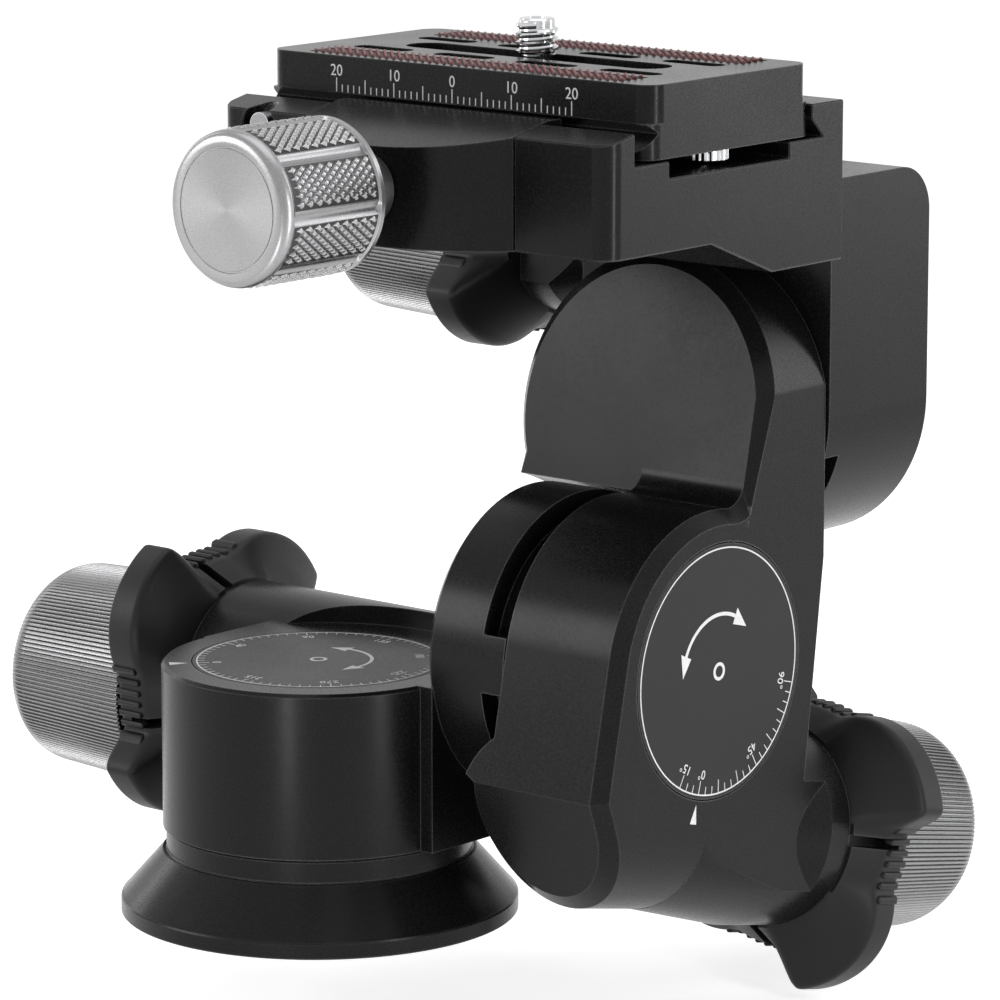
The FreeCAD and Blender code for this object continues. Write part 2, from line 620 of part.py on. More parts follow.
def pan_cheek():
    """Round cheek that carries the tilt axis, with the stop rebate and its lug."""
    start = TILT_AXIS + X_AXIS * CHEEK_LEFT_X
    cheek = cylinder(DRUM_RADIUS, CHEEK_RIGHT_X - CHEEK_LEFT_X, start, X_AXIS)
    cheek = chamfer_circles(cheek, CHEEK_BEVEL, lambda edge: edge.BoundBox.XMax < CHEEK_LEFT_X + NEAR)
    under = box((CHEEK_LEFT_X - OVERCUT, BLOCK_FRONT_Y - FAR, -FAR),
                (CHEEK_LEFT_X + DRUM_CHAMFER, FAR, PAN_TOP))
    cheek = cheek.cut(under)
    rebate = sector(DRUM_RADIUS + OVERCUT, DRUM_RADIUS - STOP_DEPTH, TILT_LUG_END, TILT_LUG_START + 360,
                    -CHEEK_RIGHT_X, CHEEK_REBATE_WIDTH)
    return cheek.cut(placed_at(TILT_ANGLES, rebate))


def placed_at(placement, shape):
    """Copy of a shape, moved by a placement."""
    moved = shape.copy()
    moved.Placement = placement.multiply(moved.Placement)
    return moved


# angle 0 straight down, growing towards -Y; local heights run along -X
TILT_ANGLES = frame_from(TILT_AXIS, -Z_AXIS, -X_AXIS)
# angle 0 straight down, growing towards +X; local heights run along -Y
ROLL_ANGLES = frame_from(ROLL_AXIS, -Z_AXIS, -Y_AXIS)


# ================================================================ tilt housing
def slanted(distance, drop, origin):
    """Point in the tilt housing's (y, z) plane, measured along and down from the slanted tube line."""
    point = origin + TILT_TUBE_DIRECTION * distance + TILT_REACH_DIRECTION * drop
    return (point.y, point.z)


def arm_face_y(z):
    """Front face of the arm at a height."""
    return ARM_FACE_Y + (z - ROLL_AXIS_Z) * math.tan(SLANT)


def crease_point():
    """Crease between the front facet and the nose facet."""
    point = TILT_AXIS - TILT_TUBE_DIRECTION * DRUM_RADIUS + TILT_REACH_DIRECTION * TILT_CREASE_DROP
    return (point.y, point.z)


def nose_room():
    """Everything in front of the nose facet, as a prism."""
    y, z = crease_point()
    lean = math.radians(TILT_NOSE_SLANT)
    low = (y + FAR * math.sin(lean), z - FAR * math.cos(lean))
    return slab_x([(y, z), low, (low[0] - FAR, low[1]), (y - FAR, z + FAR)], -FAR, FAR)


def tilt_side_outline():
    """Side outline of the tilt housing between the drum, the slanted tube and the arm."""
    tube_back = ARM_HEEL_Y - TILT_FOOT.y
    axis_back = slanted(tube_back, 0, TILT_FOOT)
    axis_front = slanted(-TUBE_RADIUS * 2, 0, TILT_FOOT)
    facet_top = slanted(-DRUM_RADIUS, 0, TILT_AXIS)
    roof_z = TILT_AXIS_Z + DRUM_RADIUS - STOP_FLOOR_GAP
    return [facet_top, crease_point(), axis_front, axis_back, (ARM_HEEL_Y, ARM_HEEL_Z),
            (ARM_BACK_Y, ARM_BACK_BEND_Z), (ARM_BACK_Y, ROLL_AXIS_Z), (ARM_FACE_Y, ROLL_AXIS_Z),
            (arm_face_y(roof_z), roof_z), (TILT_AXIS_Y, TILT_AXIS_Z)]


def tilt_housing():
    """Drum, slanted worm tube and arm in one piece."""
    left_x = CHEEK_RIGHT_X + JOINT_GAP
    drum = cylinder(DRUM_RADIUS, TILT_FACE_X - left_x, TILT_AXIS + X_AXIS * left_x, X_AXIS)
    drum = chamfer_circles(drum, DRUM_CHAMFER, lambda edge: edge.BoundBox.XMin > TILT_FACE_X - NEAR)
    web = slab_x(tilt_side_outline(), left_x, TILT_FACE_X)
    tube = TILT_DRIVE.placed(flared_tube(TILT_DRIVE, DRUM_RADIUS))
    cheek_room = cylinder(DRUM_RADIUS + CHEEK_CLEARANCE, left_x + FAR, TILT_AXIS - X_AXIS * FAR, X_AXIS)
    body = web.fuse([tube, arm_head()]).cut(nose_room()).cut(cheek_room)
    body = body.fuse([drum, tilt_stop_key()]).removeSplitter()
    body = body.cut(box((TILT_FACE_X, -FAR, -FAR), (FAR, TILT_AXIS_Y, FAR)))
    body = body.cut(TILT_STACK.cavity(-OVERCUT))
    body = body.cut(TILT_DRIVE.placed(tube_bore(TILT_DRIVE)))
    bore_start = ROLL_AXIS + Y_AXIS * (ARM_FACE_Y + BLIND_WALL)
    return body.cut(cylinder(SHAFT_RADIUS + FIT_GAP, FAR, bore_start, Y_AXIS))


def arm_head():
    """Round head of the arm about the roll axis, with the slanted front face and a flat right side."""
    head = cylinder(DRUM_RADIUS, ARM_BACK_Y, ROLL_AXIS, Y_AXIS)
    head = head.cut(box((TILT_FACE_X, -FAR, -FAR), (FAR, FAR, FAR)))
    low_y = arm_face_y(-FAR)
    high_y = arm_face_y(FAR)
    return head.cut(slab_x([(low_y, -FAR), (high_y, FAR), (-FAR, FAR), (-FAR, -FAR)], -FAR, FAR))


def tilt_stop_key():
    """Key that runs in the cheek's rebate and meets the lug at both limits."""
    start = TILT_LUG_END + TILT_UP_LIMIT + STOP_ANGLE_GAP - 360
    end = TILT_LUG_START - TILT_DOWN_LIMIT - STOP_ANGLE_GAP
    key = sector(KEY_OUTER, KEY_INNER, start, end, -CHEEK_RIGHT_X - JOINT_GAP, STOP_KEY_WIDTH + JOINT_GAP)
    return placed_at(TILT_ANGLES, key)


def roll_stop_key():
    """Key behind the arm that runs in the roll housing's rebate."""
    half = ROLL_REBATE_HALF_ANGLE - ROLL_LIMIT - STOP_ANGLE_GAP
    key = sector(KEY_OUTER - JOINT_GAP, KEY_INNER, -half, half, -ARM_BACK_Y - STOP_KEY_WIDTH, STOP_KEY_WIDTH)
    return placed_at(ROLL_ANGLES, key)


# ================================================================ roll housing
def roll_housing():
    """Housing behind the arm, with its worm tube and the neck that carries the clamp."""
    left_x = ROLL_AXIS_X - DRUM_RADIUS
    right_x = ROLL_AXIS_X + DRUM_RADIUS
    depth = ROLL_BACK_Y - ROLL_FRONT_Y
    block = box((left_x, ROLL_FRONT_Y, ROLL_AXIS_Z), (right_x, ROLL_BACK_Y, ROLL_TOP_Z))
    corner = [edge for edge in block.Edges
              if edge.BoundBox.YMin > ROLL_BACK_Y - NEAR and edge.BoundBox.ZMin > ROLL_TOP_Z - NEAR]
    block = block.makeFillet(ROLL_CORNER, corner)
    drum = cylinder(DRUM_RADIUS, depth, ROLL_AXIS + Y_AXIS * ROLL_FRONT_Y, Y_AXIS)
    tube = ROLL_DRIVE.placed(flared_tube(ROLL_DRIVE, 0))
    tube = tube.cut(box((-FAR, -FAR, -FAR), (FAR, ROLL_FRONT_Y, FAR)))
    neck = box((left_x, CLAMP_BACK_Y, NECK_BOTTOM_Z), (right_x, ROLL_FRONT_Y, ROLL_TOP_Z))
    body = block.fuse([drum, tube, neck]).removeSplitter()
    rebate = sector(DRUM_RADIUS + OVERCUT, DRUM_RADIUS - STOP_DEPTH, -ROLL_REBATE_HALF_ANGLE,
                    ROLL_REBATE_HALF_ANGLE, -ROLL_FRONT_Y - ROLL_REBATE_WIDTH, ROLL_REBATE_WIDTH)
    body = body.cut(placed_at(ROLL_ANGLES, rebate))
    body = body.cut(ROLL_STACK.cavity(ROLL_FRONT_Y - ARM_BACK_Y - OVERCUT))
    return body.cut(ROLL_DRIVE.placed(tube_bore(ROLL_DRIVE)))


# ================================================================ clamp
LIP_REST_Y = PLATE_Y + PLATE_FLANGE_WIDTH / 2
FLANGE_TOP_Z = PLATE_BOTTOM_Z + PLATE_FLANGE_HEIGHT


def lip_face_y(z):
    """45 degree face of the fixed lip at a height, beside the plate's flange."""
    return LIP_REST_Y - (z - FLANGE_TOP_Z) + PLATE_SLIDE_GAP


def jaw_face_y(z):
    """45 degree face of the moving lip at a height: the fixed one mirrored about the plate."""
    return 2 * PLATE_Y - lip_face_y(z)


def jaw_nose_y():
    """Upright edge of the moving lip."""
    return 2 * PLATE_Y - lip_nose_y()


def lip_nose_y():
    """Upright edge of the fixed lip, inside the plate's notch."""
    return PLATE_Y + PLATE_BODY_WIDTH / 2 - LIP_NOSE_INSET


def lip_nose_z():
    """Height at which the lip's 45 degree face meets its upright edge."""
    return FLANGE_TOP_Z + LIP_REST_Y + PLATE_SLIDE_GAP - lip_nose_y()


def slope_cut():
    """Room above the sloping front top of the clamp."""
    drop = math.tan(math.radians(CLAMP_TOP_SLOPE)) * FAR
    return slab_x([(CLAMP_SLOPE_START_Y, CLAMP_TOP_Z), (CLAMP_SLOPE_START_Y - FAR, CLAMP_TOP_Z - drop),
                   (CLAMP_SLOPE_START_Y - FAR, FAR), (CLAMP_SLOPE_START_Y, FAR)], -FAR, FAR)


def clamp_outline():
    """End outline of the fixed clamp body, as (y, z) points."""
    root_y = lip_face_y(CLAMP_FLOOR_Z)
    return [
        (CLAMP_FRONT_Y, CLAMP_UNDERSIDE_Z), (CLAMP_STEP_START_Y, CLAMP_UNDERSIDE_Z),
        (CLAMP_STEP_END_Y, CLAMP_HEEL_Z), (CLAMP_BACK_Y, CLAMP_HEEL_Z),
        (CLAMP_BACK_Y, CLAMP_TOP_Z), (lip_nose_y(), CLAMP_TOP_Z), (lip_nose_y(), lip_nose_z()),
        (root_y, CLAMP_FLOOR_Z), (RECESS_BACK_Y, CLAMP_FLOOR_Z), (RECESS_BACK_Y, RECESS_FLOOR_Z),
        (RECESS_FRONT_Y, RECESS_FLOOR_Z), (RECESS_FRONT_Y, CLAMP_FLOOR_Z),
        (FRONT_WALL_Y, CLAMP_FLOOR_Z), (FRONT_WALL_Y, CLAMP_TOP_Z), (CLAMP_FRONT_Y, CLAMP_TOP_Z)]


def clamp_body():
    """Fixed part of the clamp: channel, back lip and the two front blocks."""
    body = slab_x(clamp_outline(), CLAMP_LEFT_X, CLAMP_RIGHT_X)
    corners = [edge for edge in body.Edges
               if edge.BoundBox.YMax < CLAMP_FRONT_Y + NEAR and edge.BoundBox.XLength < NEAR]
    body = body.makeFillet(BLOCK_CORNER, corners)
    body = body.cut(slope_cut())
    body = body.cut(box((ROLL_AXIS_X - JAW_HALF_WIDTH, -FAR, 0),
                        (ROLL_AXIS_X + JAW_HALF_WIDTH, FRONT_WALL_Y, FAR)))
    for x in guide_pin_xs():
        start = Vector(x, FRONT_WALL_Y, GUIDE_PIN_Z)
        body = body.cut(cylinder(GUIDE_PIN_RADIUS + FIT_GAP, GUIDE_PIN_REACH, start, Y_AXIS))
    screw_start = Vector(ROLL_AXIS_X, FRONT_WALL_Y, CLAMP_SCREW_Z)
    body = body.cut(cylinder(CLAMP_SCREW_RADIUS + RUNNING_GAP, CLAMP_SCREW_GRIP + JOINT_GAP,
                             screw_start, Y_AXIS))
    hole_start = Vector(PIN_HOLE_X, CLAMP_FRONT_Y - OVERCUT, PIN_HOLE_Z)
    return body.cut(cylinder(PIN_HOLE_RADIUS, FRONT_WALL_Y - hole_start.y, hole_start, Y_AXIS))


def guide_pin_xs():
    """Positions of the jaw's two guide pins."""
    return (ROLL_AXIS_X - GUIDE_PIN_SPACING / 2, ROLL_AXIS_X + GUIDE_PIN_SPACING / 2)


def guide_pins():
    """Two pins fixed in the clamp body, on which the jaw slides."""
    start_y = FRONT_WALL_Y - GUIDE_PIN_REACH
    pins = [cylinder(GUIDE_PIN_RADIUS, 2 * GUIDE_PIN_REACH, Vector(x, start_y, GUIDE_PIN_Z), Y_AXIS)
            for x in guide_pin_xs()]
    return Part.makeCompound(pins)


def clamp_jaw():
    """Moving jaw: bowed front, sloping top and the 45 degree lip."""
    half = JAW_HALF_WIDTH - JOINT_GAP / 2
    low_z = CLAMP_UNDERSIDE_Z
    left = Vector(ROLL_AXIS_X - half, CLAMP_FRONT_Y, low_z)
    right = Vector(ROLL_AXIS_X + half, CLAMP_FRONT_Y, low_z)
    bow = Vector(ROLL_AXIS_X, CLAMP_FRONT_Y - JAW_BULGE, low_z)
    tip_y = jaw_nose_y()
    back_right = Vector(right.x, tip_y, low_z)
    back_left = Vector(left.x, tip_y, low_z)
    wire = Part.Wire([Part.Arc(left, bow, right).toShape(), Part.LineSegment(right, back_right).toShape(),
                      Part.LineSegment(back_right, back_left).toShape(),
                      Part.LineSegment(back_left, left).toShape()])
    body = Part.Face(wire).extrude(Z_AXIS * (CLAMP_TOP_Z - low_z)).cut(slope_cut())
    body_back = FRONT_WALL_Y - JAW_BACK_GAP
    lip_bottom = CLAMP_FLOOR_Z + JOINT_GAP
    under_lip = slab_x([(body_back, -FAR), (FAR, -FAR), (FAR, lip_nose_z()),
                        (jaw_nose_y(), lip_nose_z()), (jaw_face_y(lip_bottom), lip_bottom),
                        (body_back, lip_bottom)], -FAR, FAR)
    body = body.cut(under_lip)
    for x in guide_pin_xs():
        start = Vector(x, FRONT_WALL_Y - GUIDE_PIN_REACH - JOINT_GAP, GUIDE_PIN_Z)
        body = body.cut(cylinder(GUIDE_PIN_RADIUS + RUNNING_GAP, FAR, start, Y_AXIS))
    screw_start = Vector(ROLL_AXIS_X, -FAR, CLAMP_SCREW_Z)
    return body.cut(cylinder(CLAMP_SCREW_RADIUS + RUNNING_GAP, 2 * FAR, screw_start, Y_AXIS))


JAW_NOSE_Y = CLAMP_FRONT_Y - JAW_BULGE
BUSH_START_Y = JAW_NOSE_Y - CLAMP_BUSH_LENGTH
KNOB_FRONT_Y = BUSH_START_Y - KNOB_BACK_GAP - CLAMP_KNOB_LENGTH


def clamp_bush():
    """Plain bush between the jaw and the knob."""
    inner = CLAMP_SCREW_RADIUS + RUNNING_GAP
    start = Vector(ROLL_AXIS_X, BUSH_START_Y, CLAMP_SCREW_Z)
    return ring(CLAMP_BUSH_RADIUS, inner, CLAMP_BUSH_LENGTH, start, Y_AXIS)


def clamp_knob_section(height, inset, groove_depth):
    """Outline of the clamp knob at a height: grip pads with shallow grooves between them."""
    radius = CLAMP_KNOB_RADIUS - inset
    pitch = 360 / CLAMP_KNOB_PADS
    pad_step = (pitch - CLAMP_KNOB_GROOVE_SPAN) / CLAMP_KNOB_PAD_STEPS
    points = []
    for pad in range(CLAMP_KNOB_PADS):
        start = pad * pitch
        for step in range(CLAMP_KNOB_GROOVE_STEPS):
            share = step / CLAMP_KNOB_GROOVE_STEPS
            depth = groove_depth * math.sin(math.pi * share)
            points.append(polar(radius - depth, start + share * CLAMP_KNOB_GROOVE_SPAN, height))
        for step in range(CLAMP_KNOB_PAD_STEPS):
            points.append(polar(radius, start + CLAMP_KNOB_GROOVE_SPAN + step * pad_step, height))
    return points


def clamp_knob():
    """Drum knob with shallow grooves between its grip pads, on the clamping screw."""
    start = Vector(ROLL_AXIS_X, KNOB_FRONT_Y, CLAMP_SCREW_Z)
    length = CLAMP_KNOB_LENGTH
    groove_start = CLAMP_KNOB_EDGE + CLAMP_KNOB_RIM
    body = faceted([clamp_knob_section(0, CLAMP_KNOB_EDGE, 0),
                    clamp_knob_section(CLAMP_KNOB_EDGE, 0, 0),
                    clamp_knob_section(groove_start, 0, CLAMP_KNOB_GROOVE_DEPTH),
                    clamp_knob_section(length - groove_start, 0, CLAMP_KNOB_GROOVE_DEPTH),
                    clamp_knob_section(length - CLAMP_KNOB_EDGE, 0, 0),
                    clamp_knob_section(length, CLAMP_KNOB_EDGE, 0)])
    body.Placement = Placement(start, Rotation(Z_AXIS, Y_AXIS))
    screw_length = FRONT_WALL_Y + CLAMP_SCREW_GRIP - KNOB_FRONT_Y - length / 2
    screw = cylinder(CLAMP_SCREW_RADIUS, screw_length, start + Y_AXIS * (length / 2), Y_AXIS)
    return body.fuse(screw).removeSplitter()


def lock_pin():
    """Pin in the left front block, guided by its collar at the back of the hole."""
    start = Vector(PIN_HOLE_X, CLAMP_FRONT_Y + JOINT_GAP, PIN_HOLE_Z)
    length = FRONT_WALL_Y - start.y
    pin = cylinder(LOCK_PIN_RADIUS, length, start, Y_AXIS)
    guide_start = start + Y_AXIS * (length - LOCK_PIN_GUIDE_LENGTH)
    guide = cylinder(PIN_HOLE_RADIUS - FIT_GAP, LOCK_PIN_GUIDE_LENGTH, guide_start, Y_AXIS)
    return pin.fuse(guide).removeSplitter()


# ================================================================ quick-release plate
def plate_foot_outline():
    """End outline of the plate's dovetail foot with its V notch, as (y, z) points."""
    half = PLATE_FLANGE_WIDTH / 2
    body_half = PLATE_BODY_WIDTH / 2
    notch_half = half - PLATE_NOTCH_DEPTH
    notch_z = FLANGE_TOP_Z + PLATE_NOTCH_DEPTH
    right = [(half, PLATE_BOTTOM_Z), (half, FLANGE_TOP_Z), (notch_half, notch_z),
             (body_half, PLATE_BODY_BOTTOM_Z)]
    return [(PLATE_Y + y, z) for y, z in right] + [(PLATE_Y - y, z) for y, z in reversed(right)]


def rounded_block(length, width, low_z, high_z):
    """Block about the plate's middle with rounded upright corners."""
    low = (ROLL_AXIS_X - length / 2, PLATE_Y - width / 2, low_z)
    high = (ROLL_AXIS_X + length / 2, PLATE_Y + width / 2, high_z)
    block = box(low, high)
    uprights = [edge for edge in block.Edges if edge.BoundBox.XLength < NEAR and edge.BoundBox.YLength < NEAR]
    return block.makeFillet(PLATE_CORNER, uprights)


def plate():
    """Quick-release plate with a camera slot and seats for the rubber strips."""
    low_x = ROLL_AXIS_X - PLATE_LENGTH / 2
    foot = slab_x(plate_foot_outline(), low_x, low_x + PLATE_LENGTH)
    foot = foot.common(rounded_block(PLATE_LENGTH, PLATE_FLANGE_WIDTH, PLATE_BOTTOM_Z, PLATE_BODY_BOTTOM_Z))
    top = rounded_block(PLATE_LENGTH, PLATE_BODY_WIDTH, PLATE_BODY_BOTTOM_Z, PLATE_TOP_Z)
    body = foot.fuse(top).removeSplitter()
    centre = Vector(ROLL_AXIS_X, PLATE_Y, 0)
    body = body.cut(slot(centre, CAMERA_SLOT_LENGTH, CAMERA_SLOT_WIDTH,
                         PLATE_BOTTOM_Z - OVERCUT, PLATE_TOP_Z + OVERCUT))
    head_room = 2 * (CAMERA_HEAD_RADIUS + JOINT_GAP)
    head_top = PLATE_BOTTOM_Z + CAMERA_HEAD_HEIGHT + JOINT_GAP
    body = body.cut(slot(centre, CAMERA_SLOT_LENGTH + head_room - CAMERA_SLOT_WIDTH, head_room,
                         PLATE_BOTTOM_Z - OVERCUT, head_top))
    for y in strip_ys():
        body = body.cut(strip(y, 0, PLATE_TOP_Z + FAR))
    for x in stop_screw_xs():
        body = body.cut(cylinder(STOP_SCREW_SHANK_RADIUS + FIT_GAP, STOP_SCREW_SHANK_LENGTH,
                                 Vector(x, PLATE_Y, PLATE_BOTTOM_Z), Z_AXIS))
    return body


def slot(centre, length, width, low_z, high_z):
    """Round-ended slot along X, as a solid between two heights."""
    half = (length - width) / 2
    start = Vector(centre.x - half, centre.y, low_z)
    middle = box((centre.x - half, centre.y - width / 2, low_z),
                 (centre.x + half, centre.y + width / 2, high_z))
    ends = [cylinder(width / 2, high_z - low_z, start + X_AXIS * offset, Z_AXIS) for offset in (0, 2 * half)]
    return middle.fuse(ends).removeSplitter()


def strip_ys():
    """Middle lines of the two rubber strips."""
    offset = PLATE_BODY_WIDTH / 2 - RUBBER_EDGE - RUBBER_WIDTH / 2
    return (PLATE_Y - offset, PLATE_Y + offset)


def stop_screw_xs():
    """Positions of the two stop screws under the plate."""
    return (ROLL_AXIS_X - STOP_SCREW_SPACING / 2, ROLL_AXIS_X + STOP_SCREW_SPACING / 2)


def strip(y, margin, high_z):
    """Strip along X at a y position, from its seat up to a height, drawn in by a margin."""
    half_length = RUBBER_LENGTH / 2 - margin
    half_width = RUBBER_WIDTH / 2 - margin
    return box((ROLL_AXIS_X - half_length, y - half_width, PLATE_TOP_Z - RUBBER_SINK),
               (ROLL_AXIS_X + half_length, y + half_width, high_z))


def rubber_strips():
    """Two grip strips let into the plate's top."""
    top = PLATE_TOP_Z - RUBBER_SINK + RUBBER_THICKNESS
    return Part.makeCompound([strip(y, FIT_GAP, top) for y in strip_ys()])


def camera_screw():
    """Camera screw with its wide head under the slot and a plain neck below the thread."""
    foot = Vector(ROLL_AXIS_X, PLATE_Y, PLATE_BOTTOM_Z)
    thread_low = PLATE_TOP_Z + CAMERA_THREAD_START - PLATE_BOTTOM_Z
    thread_top = PLATE_TOP_Z + CAMERA_SCREW_RISE - PLATE_BOTTOM_Z
    head = cylinder(CAMERA_HEAD_RADIUS, CAMERA_HEAD_HEIGHT, foot, Z_AXIS)
    neck = cylinder(CAMERA_SCREW_NECK_RADIUS, thread_low, foot, Z_AXIS)
    thread = cylinder(CAMERA_SCREW_RADIUS, thread_top - thread_low, foot + Z_AXIS * thread_low, Z_AXIS)
    return head.fuse([neck, thread]).removeSplitter()


def plate_stop_screws():
    """Two screws under the plate that keep it from sliding out."""
    screws = []
    for x in stop_screw_xs():
        foot = Vector(x, PLATE_Y, PLATE_BOTTOM_Z - STOP_SCREW_HEAD_HEIGHT)
        head = cylinder(STOP_SCREW_RADIUS, STOP_SCREW_HEAD_HEIGHT, foot, Z_AXIS)
        length = STOP_SCREW_HEAD_HEIGHT + STOP_SCREW_SHANK_LENGTH
        shank = cylinder(STOP_SCREW_SHANK_RADIUS, length, foot, Z_AXIS)
        screws.append(head.fuse(shank).removeSplitter())
    return Part.makeCompound(screws)


# ================================================================ all nodes
def all_nodes():
    """Every sub-part of the head under its node name."""
    nodes = {"base_flange": base_flange(), "foot_insert": foot_insert()}
    nodes.update(stack_nodes("pan", PAN_STACK))
    nodes["pan_housing"] = pan_housing()
    nodes.update(drive_nodes("pan", PAN_DRIVE))
    nodes.update(stack_nodes("tilt", TILT_STACK))
    nodes["tilt_housing"] = tilt_housing()
    nodes.update(drive_nodes("tilt", TILT_DRIVE))
    nodes["tilt_sleeve"] = nodes["tilt_sleeve"].cut(TILT_DRIVE.placed(cheek_room(TILT_DRIVE)))
    nodes.update(stack_nodes("roll", ROLL_STACK))
    nodes["roll_stop_key"] = roll_stop_key()
    nodes["roll_housing"] = roll_housing()
    nodes.update(drive_nodes("roll", ROLL_DRIVE))
    nodes["clamp_body"] = clamp_body()
    nodes["guide_pins"] = guide_pins()
    nodes["lock_pin"] = lock_pin()
    nodes["clamp_jaw"] = clamp_jaw()
    nodes["clamp_bush"] = clamp_bush()
    nodes["clamp_knob"] = clamp_knob()
    nodes["plate"] = plate()
    nodes["rubber_strips"] = rubber_strips()
    nodes["camera_screw"] = camera_screw()
    nodes["plate_stop_screws"] = plate_stop_screws()
    return nodes


export(all_nodes())
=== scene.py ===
"""Looks of the geared tripod head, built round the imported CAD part.

Metres, in the CAD frame: +Z up along the pan axis, +X along the tilt axis, -Y towards the clamp knob.
Lengths are written in millimetres and scaled by MM where a mesh is made. The camera and the lights are in metres.
"""
import json
import math

import bmesh
import bpy
from mathutils import Matrix, Vector

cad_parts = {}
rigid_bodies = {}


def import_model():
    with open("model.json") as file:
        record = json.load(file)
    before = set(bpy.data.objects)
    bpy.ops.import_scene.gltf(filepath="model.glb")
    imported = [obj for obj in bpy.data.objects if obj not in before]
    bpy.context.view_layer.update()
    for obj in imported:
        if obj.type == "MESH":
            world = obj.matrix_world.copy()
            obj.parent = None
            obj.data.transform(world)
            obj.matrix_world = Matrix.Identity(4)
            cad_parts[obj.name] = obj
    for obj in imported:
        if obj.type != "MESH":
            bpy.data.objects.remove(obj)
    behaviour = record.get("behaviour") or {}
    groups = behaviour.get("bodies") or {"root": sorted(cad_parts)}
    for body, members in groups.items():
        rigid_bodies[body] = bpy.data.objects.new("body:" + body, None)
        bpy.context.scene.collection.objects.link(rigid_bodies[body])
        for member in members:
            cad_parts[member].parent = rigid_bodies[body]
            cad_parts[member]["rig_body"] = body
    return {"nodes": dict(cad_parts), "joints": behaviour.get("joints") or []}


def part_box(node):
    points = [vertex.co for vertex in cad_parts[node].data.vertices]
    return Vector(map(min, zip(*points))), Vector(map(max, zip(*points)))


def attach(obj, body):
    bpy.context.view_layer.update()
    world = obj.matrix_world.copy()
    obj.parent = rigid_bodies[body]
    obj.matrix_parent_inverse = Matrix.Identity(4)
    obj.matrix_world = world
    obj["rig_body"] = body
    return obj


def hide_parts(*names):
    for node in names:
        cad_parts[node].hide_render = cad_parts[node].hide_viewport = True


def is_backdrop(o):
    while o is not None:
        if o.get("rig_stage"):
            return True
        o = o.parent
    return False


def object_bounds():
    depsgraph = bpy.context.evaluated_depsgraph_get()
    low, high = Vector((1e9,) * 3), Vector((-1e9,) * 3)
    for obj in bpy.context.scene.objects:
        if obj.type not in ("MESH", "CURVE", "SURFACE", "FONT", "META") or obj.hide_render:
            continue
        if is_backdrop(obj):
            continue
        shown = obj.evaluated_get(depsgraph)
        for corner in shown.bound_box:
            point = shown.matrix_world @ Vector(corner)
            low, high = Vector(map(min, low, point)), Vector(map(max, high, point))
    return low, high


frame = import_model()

MM = 0.001
MERGE_DISTANCE = 2e-6            # metres: closer points count as one
FLAT_ANGLE = math.radians(0.6)   # faces that turn by less are merged
SHARP_ANGLE = math.radians(30)   # edges that turn by more are broken
AXIS_RADIUS = 0.01               # where a section of a solid of revolution meets its axis
NODES = frame["nodes"]
JOINTS = {joint["name"]: joint for joint in frame["joints"]}
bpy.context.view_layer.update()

# camera, solved from the photographed proportions
CAMERA_PLACE = (0.5313, -0.5870, 0.2192)
CAMERA_PITCH = 78.80
CAMERA_TURN = 40.18
CAMERA_LENS = 194.8
SENSOR_WIDTH = 36.0

# pan, tilt and roll stacks
PAN_TOP = 38.2
TILT_AXIS = Vector((0, 20.0, 41.8))
TILT_FACE_X = 60.44
DRUM_RADIUS = 23.6
ROLL_AXIS = Vector((37.3, 0, 76.0))
ROLL_BACK_Y = 70.0
SLANT = math.radians(12)

# quick-release plate
PLATE_MIDDLE = Vector((37.3, 6.2, 0))
PLATE_FRONT_Y = -12.0
PLATE_TOP = 131.2


# ================================================================ node materials
def node_adder(tree):
    """Function that adds a node to a tree, with its settings made and its inputs set or linked."""
    def add(kind, inputs=None, **settings):
        node = tree.nodes.new(kind)
        for key, value in settings.items():
            setattr(node, key, value)
        for key, value in (inputs or {}).items():
            if isinstance(value, bpy.types.NodeSocket):
                tree.links.new(value, node.inputs[key])
            else:
                node.inputs[key].default_value = value
        return node

    return add


def new_material(name):
    """Empty node material with its Principled shader, and a helper that adds linked nodes."""
    material = bpy.data.materials.new(name)
    material.use_nodes = True
    tree = material.node_tree
    shader = tree.nodes["Principled BSDF"]

    def link(source, target):
        tree.links.new(source, shader.inputs[target])

    return material, shader, node_adder(tree), link


def grain(add, coords, scale, detail=4.0):
    """Noise of a given size, as a value socket."""
    return add("ShaderNodeTexNoise", {"Vector": coords, "Scale": scale, "Detail": detail}).outputs["Fac"]


def mapped(add, value, low, high, start=0.0, end=1.0):
    """A value mapped from one range to another."""
    node = add("ShaderNodeMapRange", {"Value": value, "From Min": start, "From Max": end,
                                      "To Min": low, "To Max": high})
    return node.outputs["Result"]


def mixed_colour(add, share, first, second):
    """Two colours, given or linked, mixed by a share."""
    node = add("ShaderNodeMix", data_type="RGBA")
    node.id_data.links.new(share, node.inputs["Factor"])
    for key, colour in (("A", first), ("B", second)):
        if isinstance(colour, bpy.types.NodeSocket):
            node.id_data.links.new(colour, node.inputs[key])
        else:
            node.inputs[key].default_value = (*colour, 1)
    return node.outputs["Result"]


def bumped(add, link, height, strength, distance=0.00002):
    """Give a material a bump from a height."""
    bump = add("ShaderNodeBump", {"Height": height, "Strength": strength, "Distance": distance})
    link(bump.outputs["Normal"], "Normal")


def edge_share(add, radius):
    """How far a point lies on an edge, from the difference between the bevelled and the true normal."""
    bevelled = add("ShaderNodeBevel", {"Radius": radius}, samples=4).outputs["Normal"]
    true_normal = add("ShaderNodeNewGeometry").outputs["Normal"]
    along = add("ShaderNodeVectorMath", {0: bevelled, 1: true_normal}, operation="DOT_PRODUCT").outputs["Value"]
    return mapped(add, along, 1.0, 0.0, 0.72, 0.995)


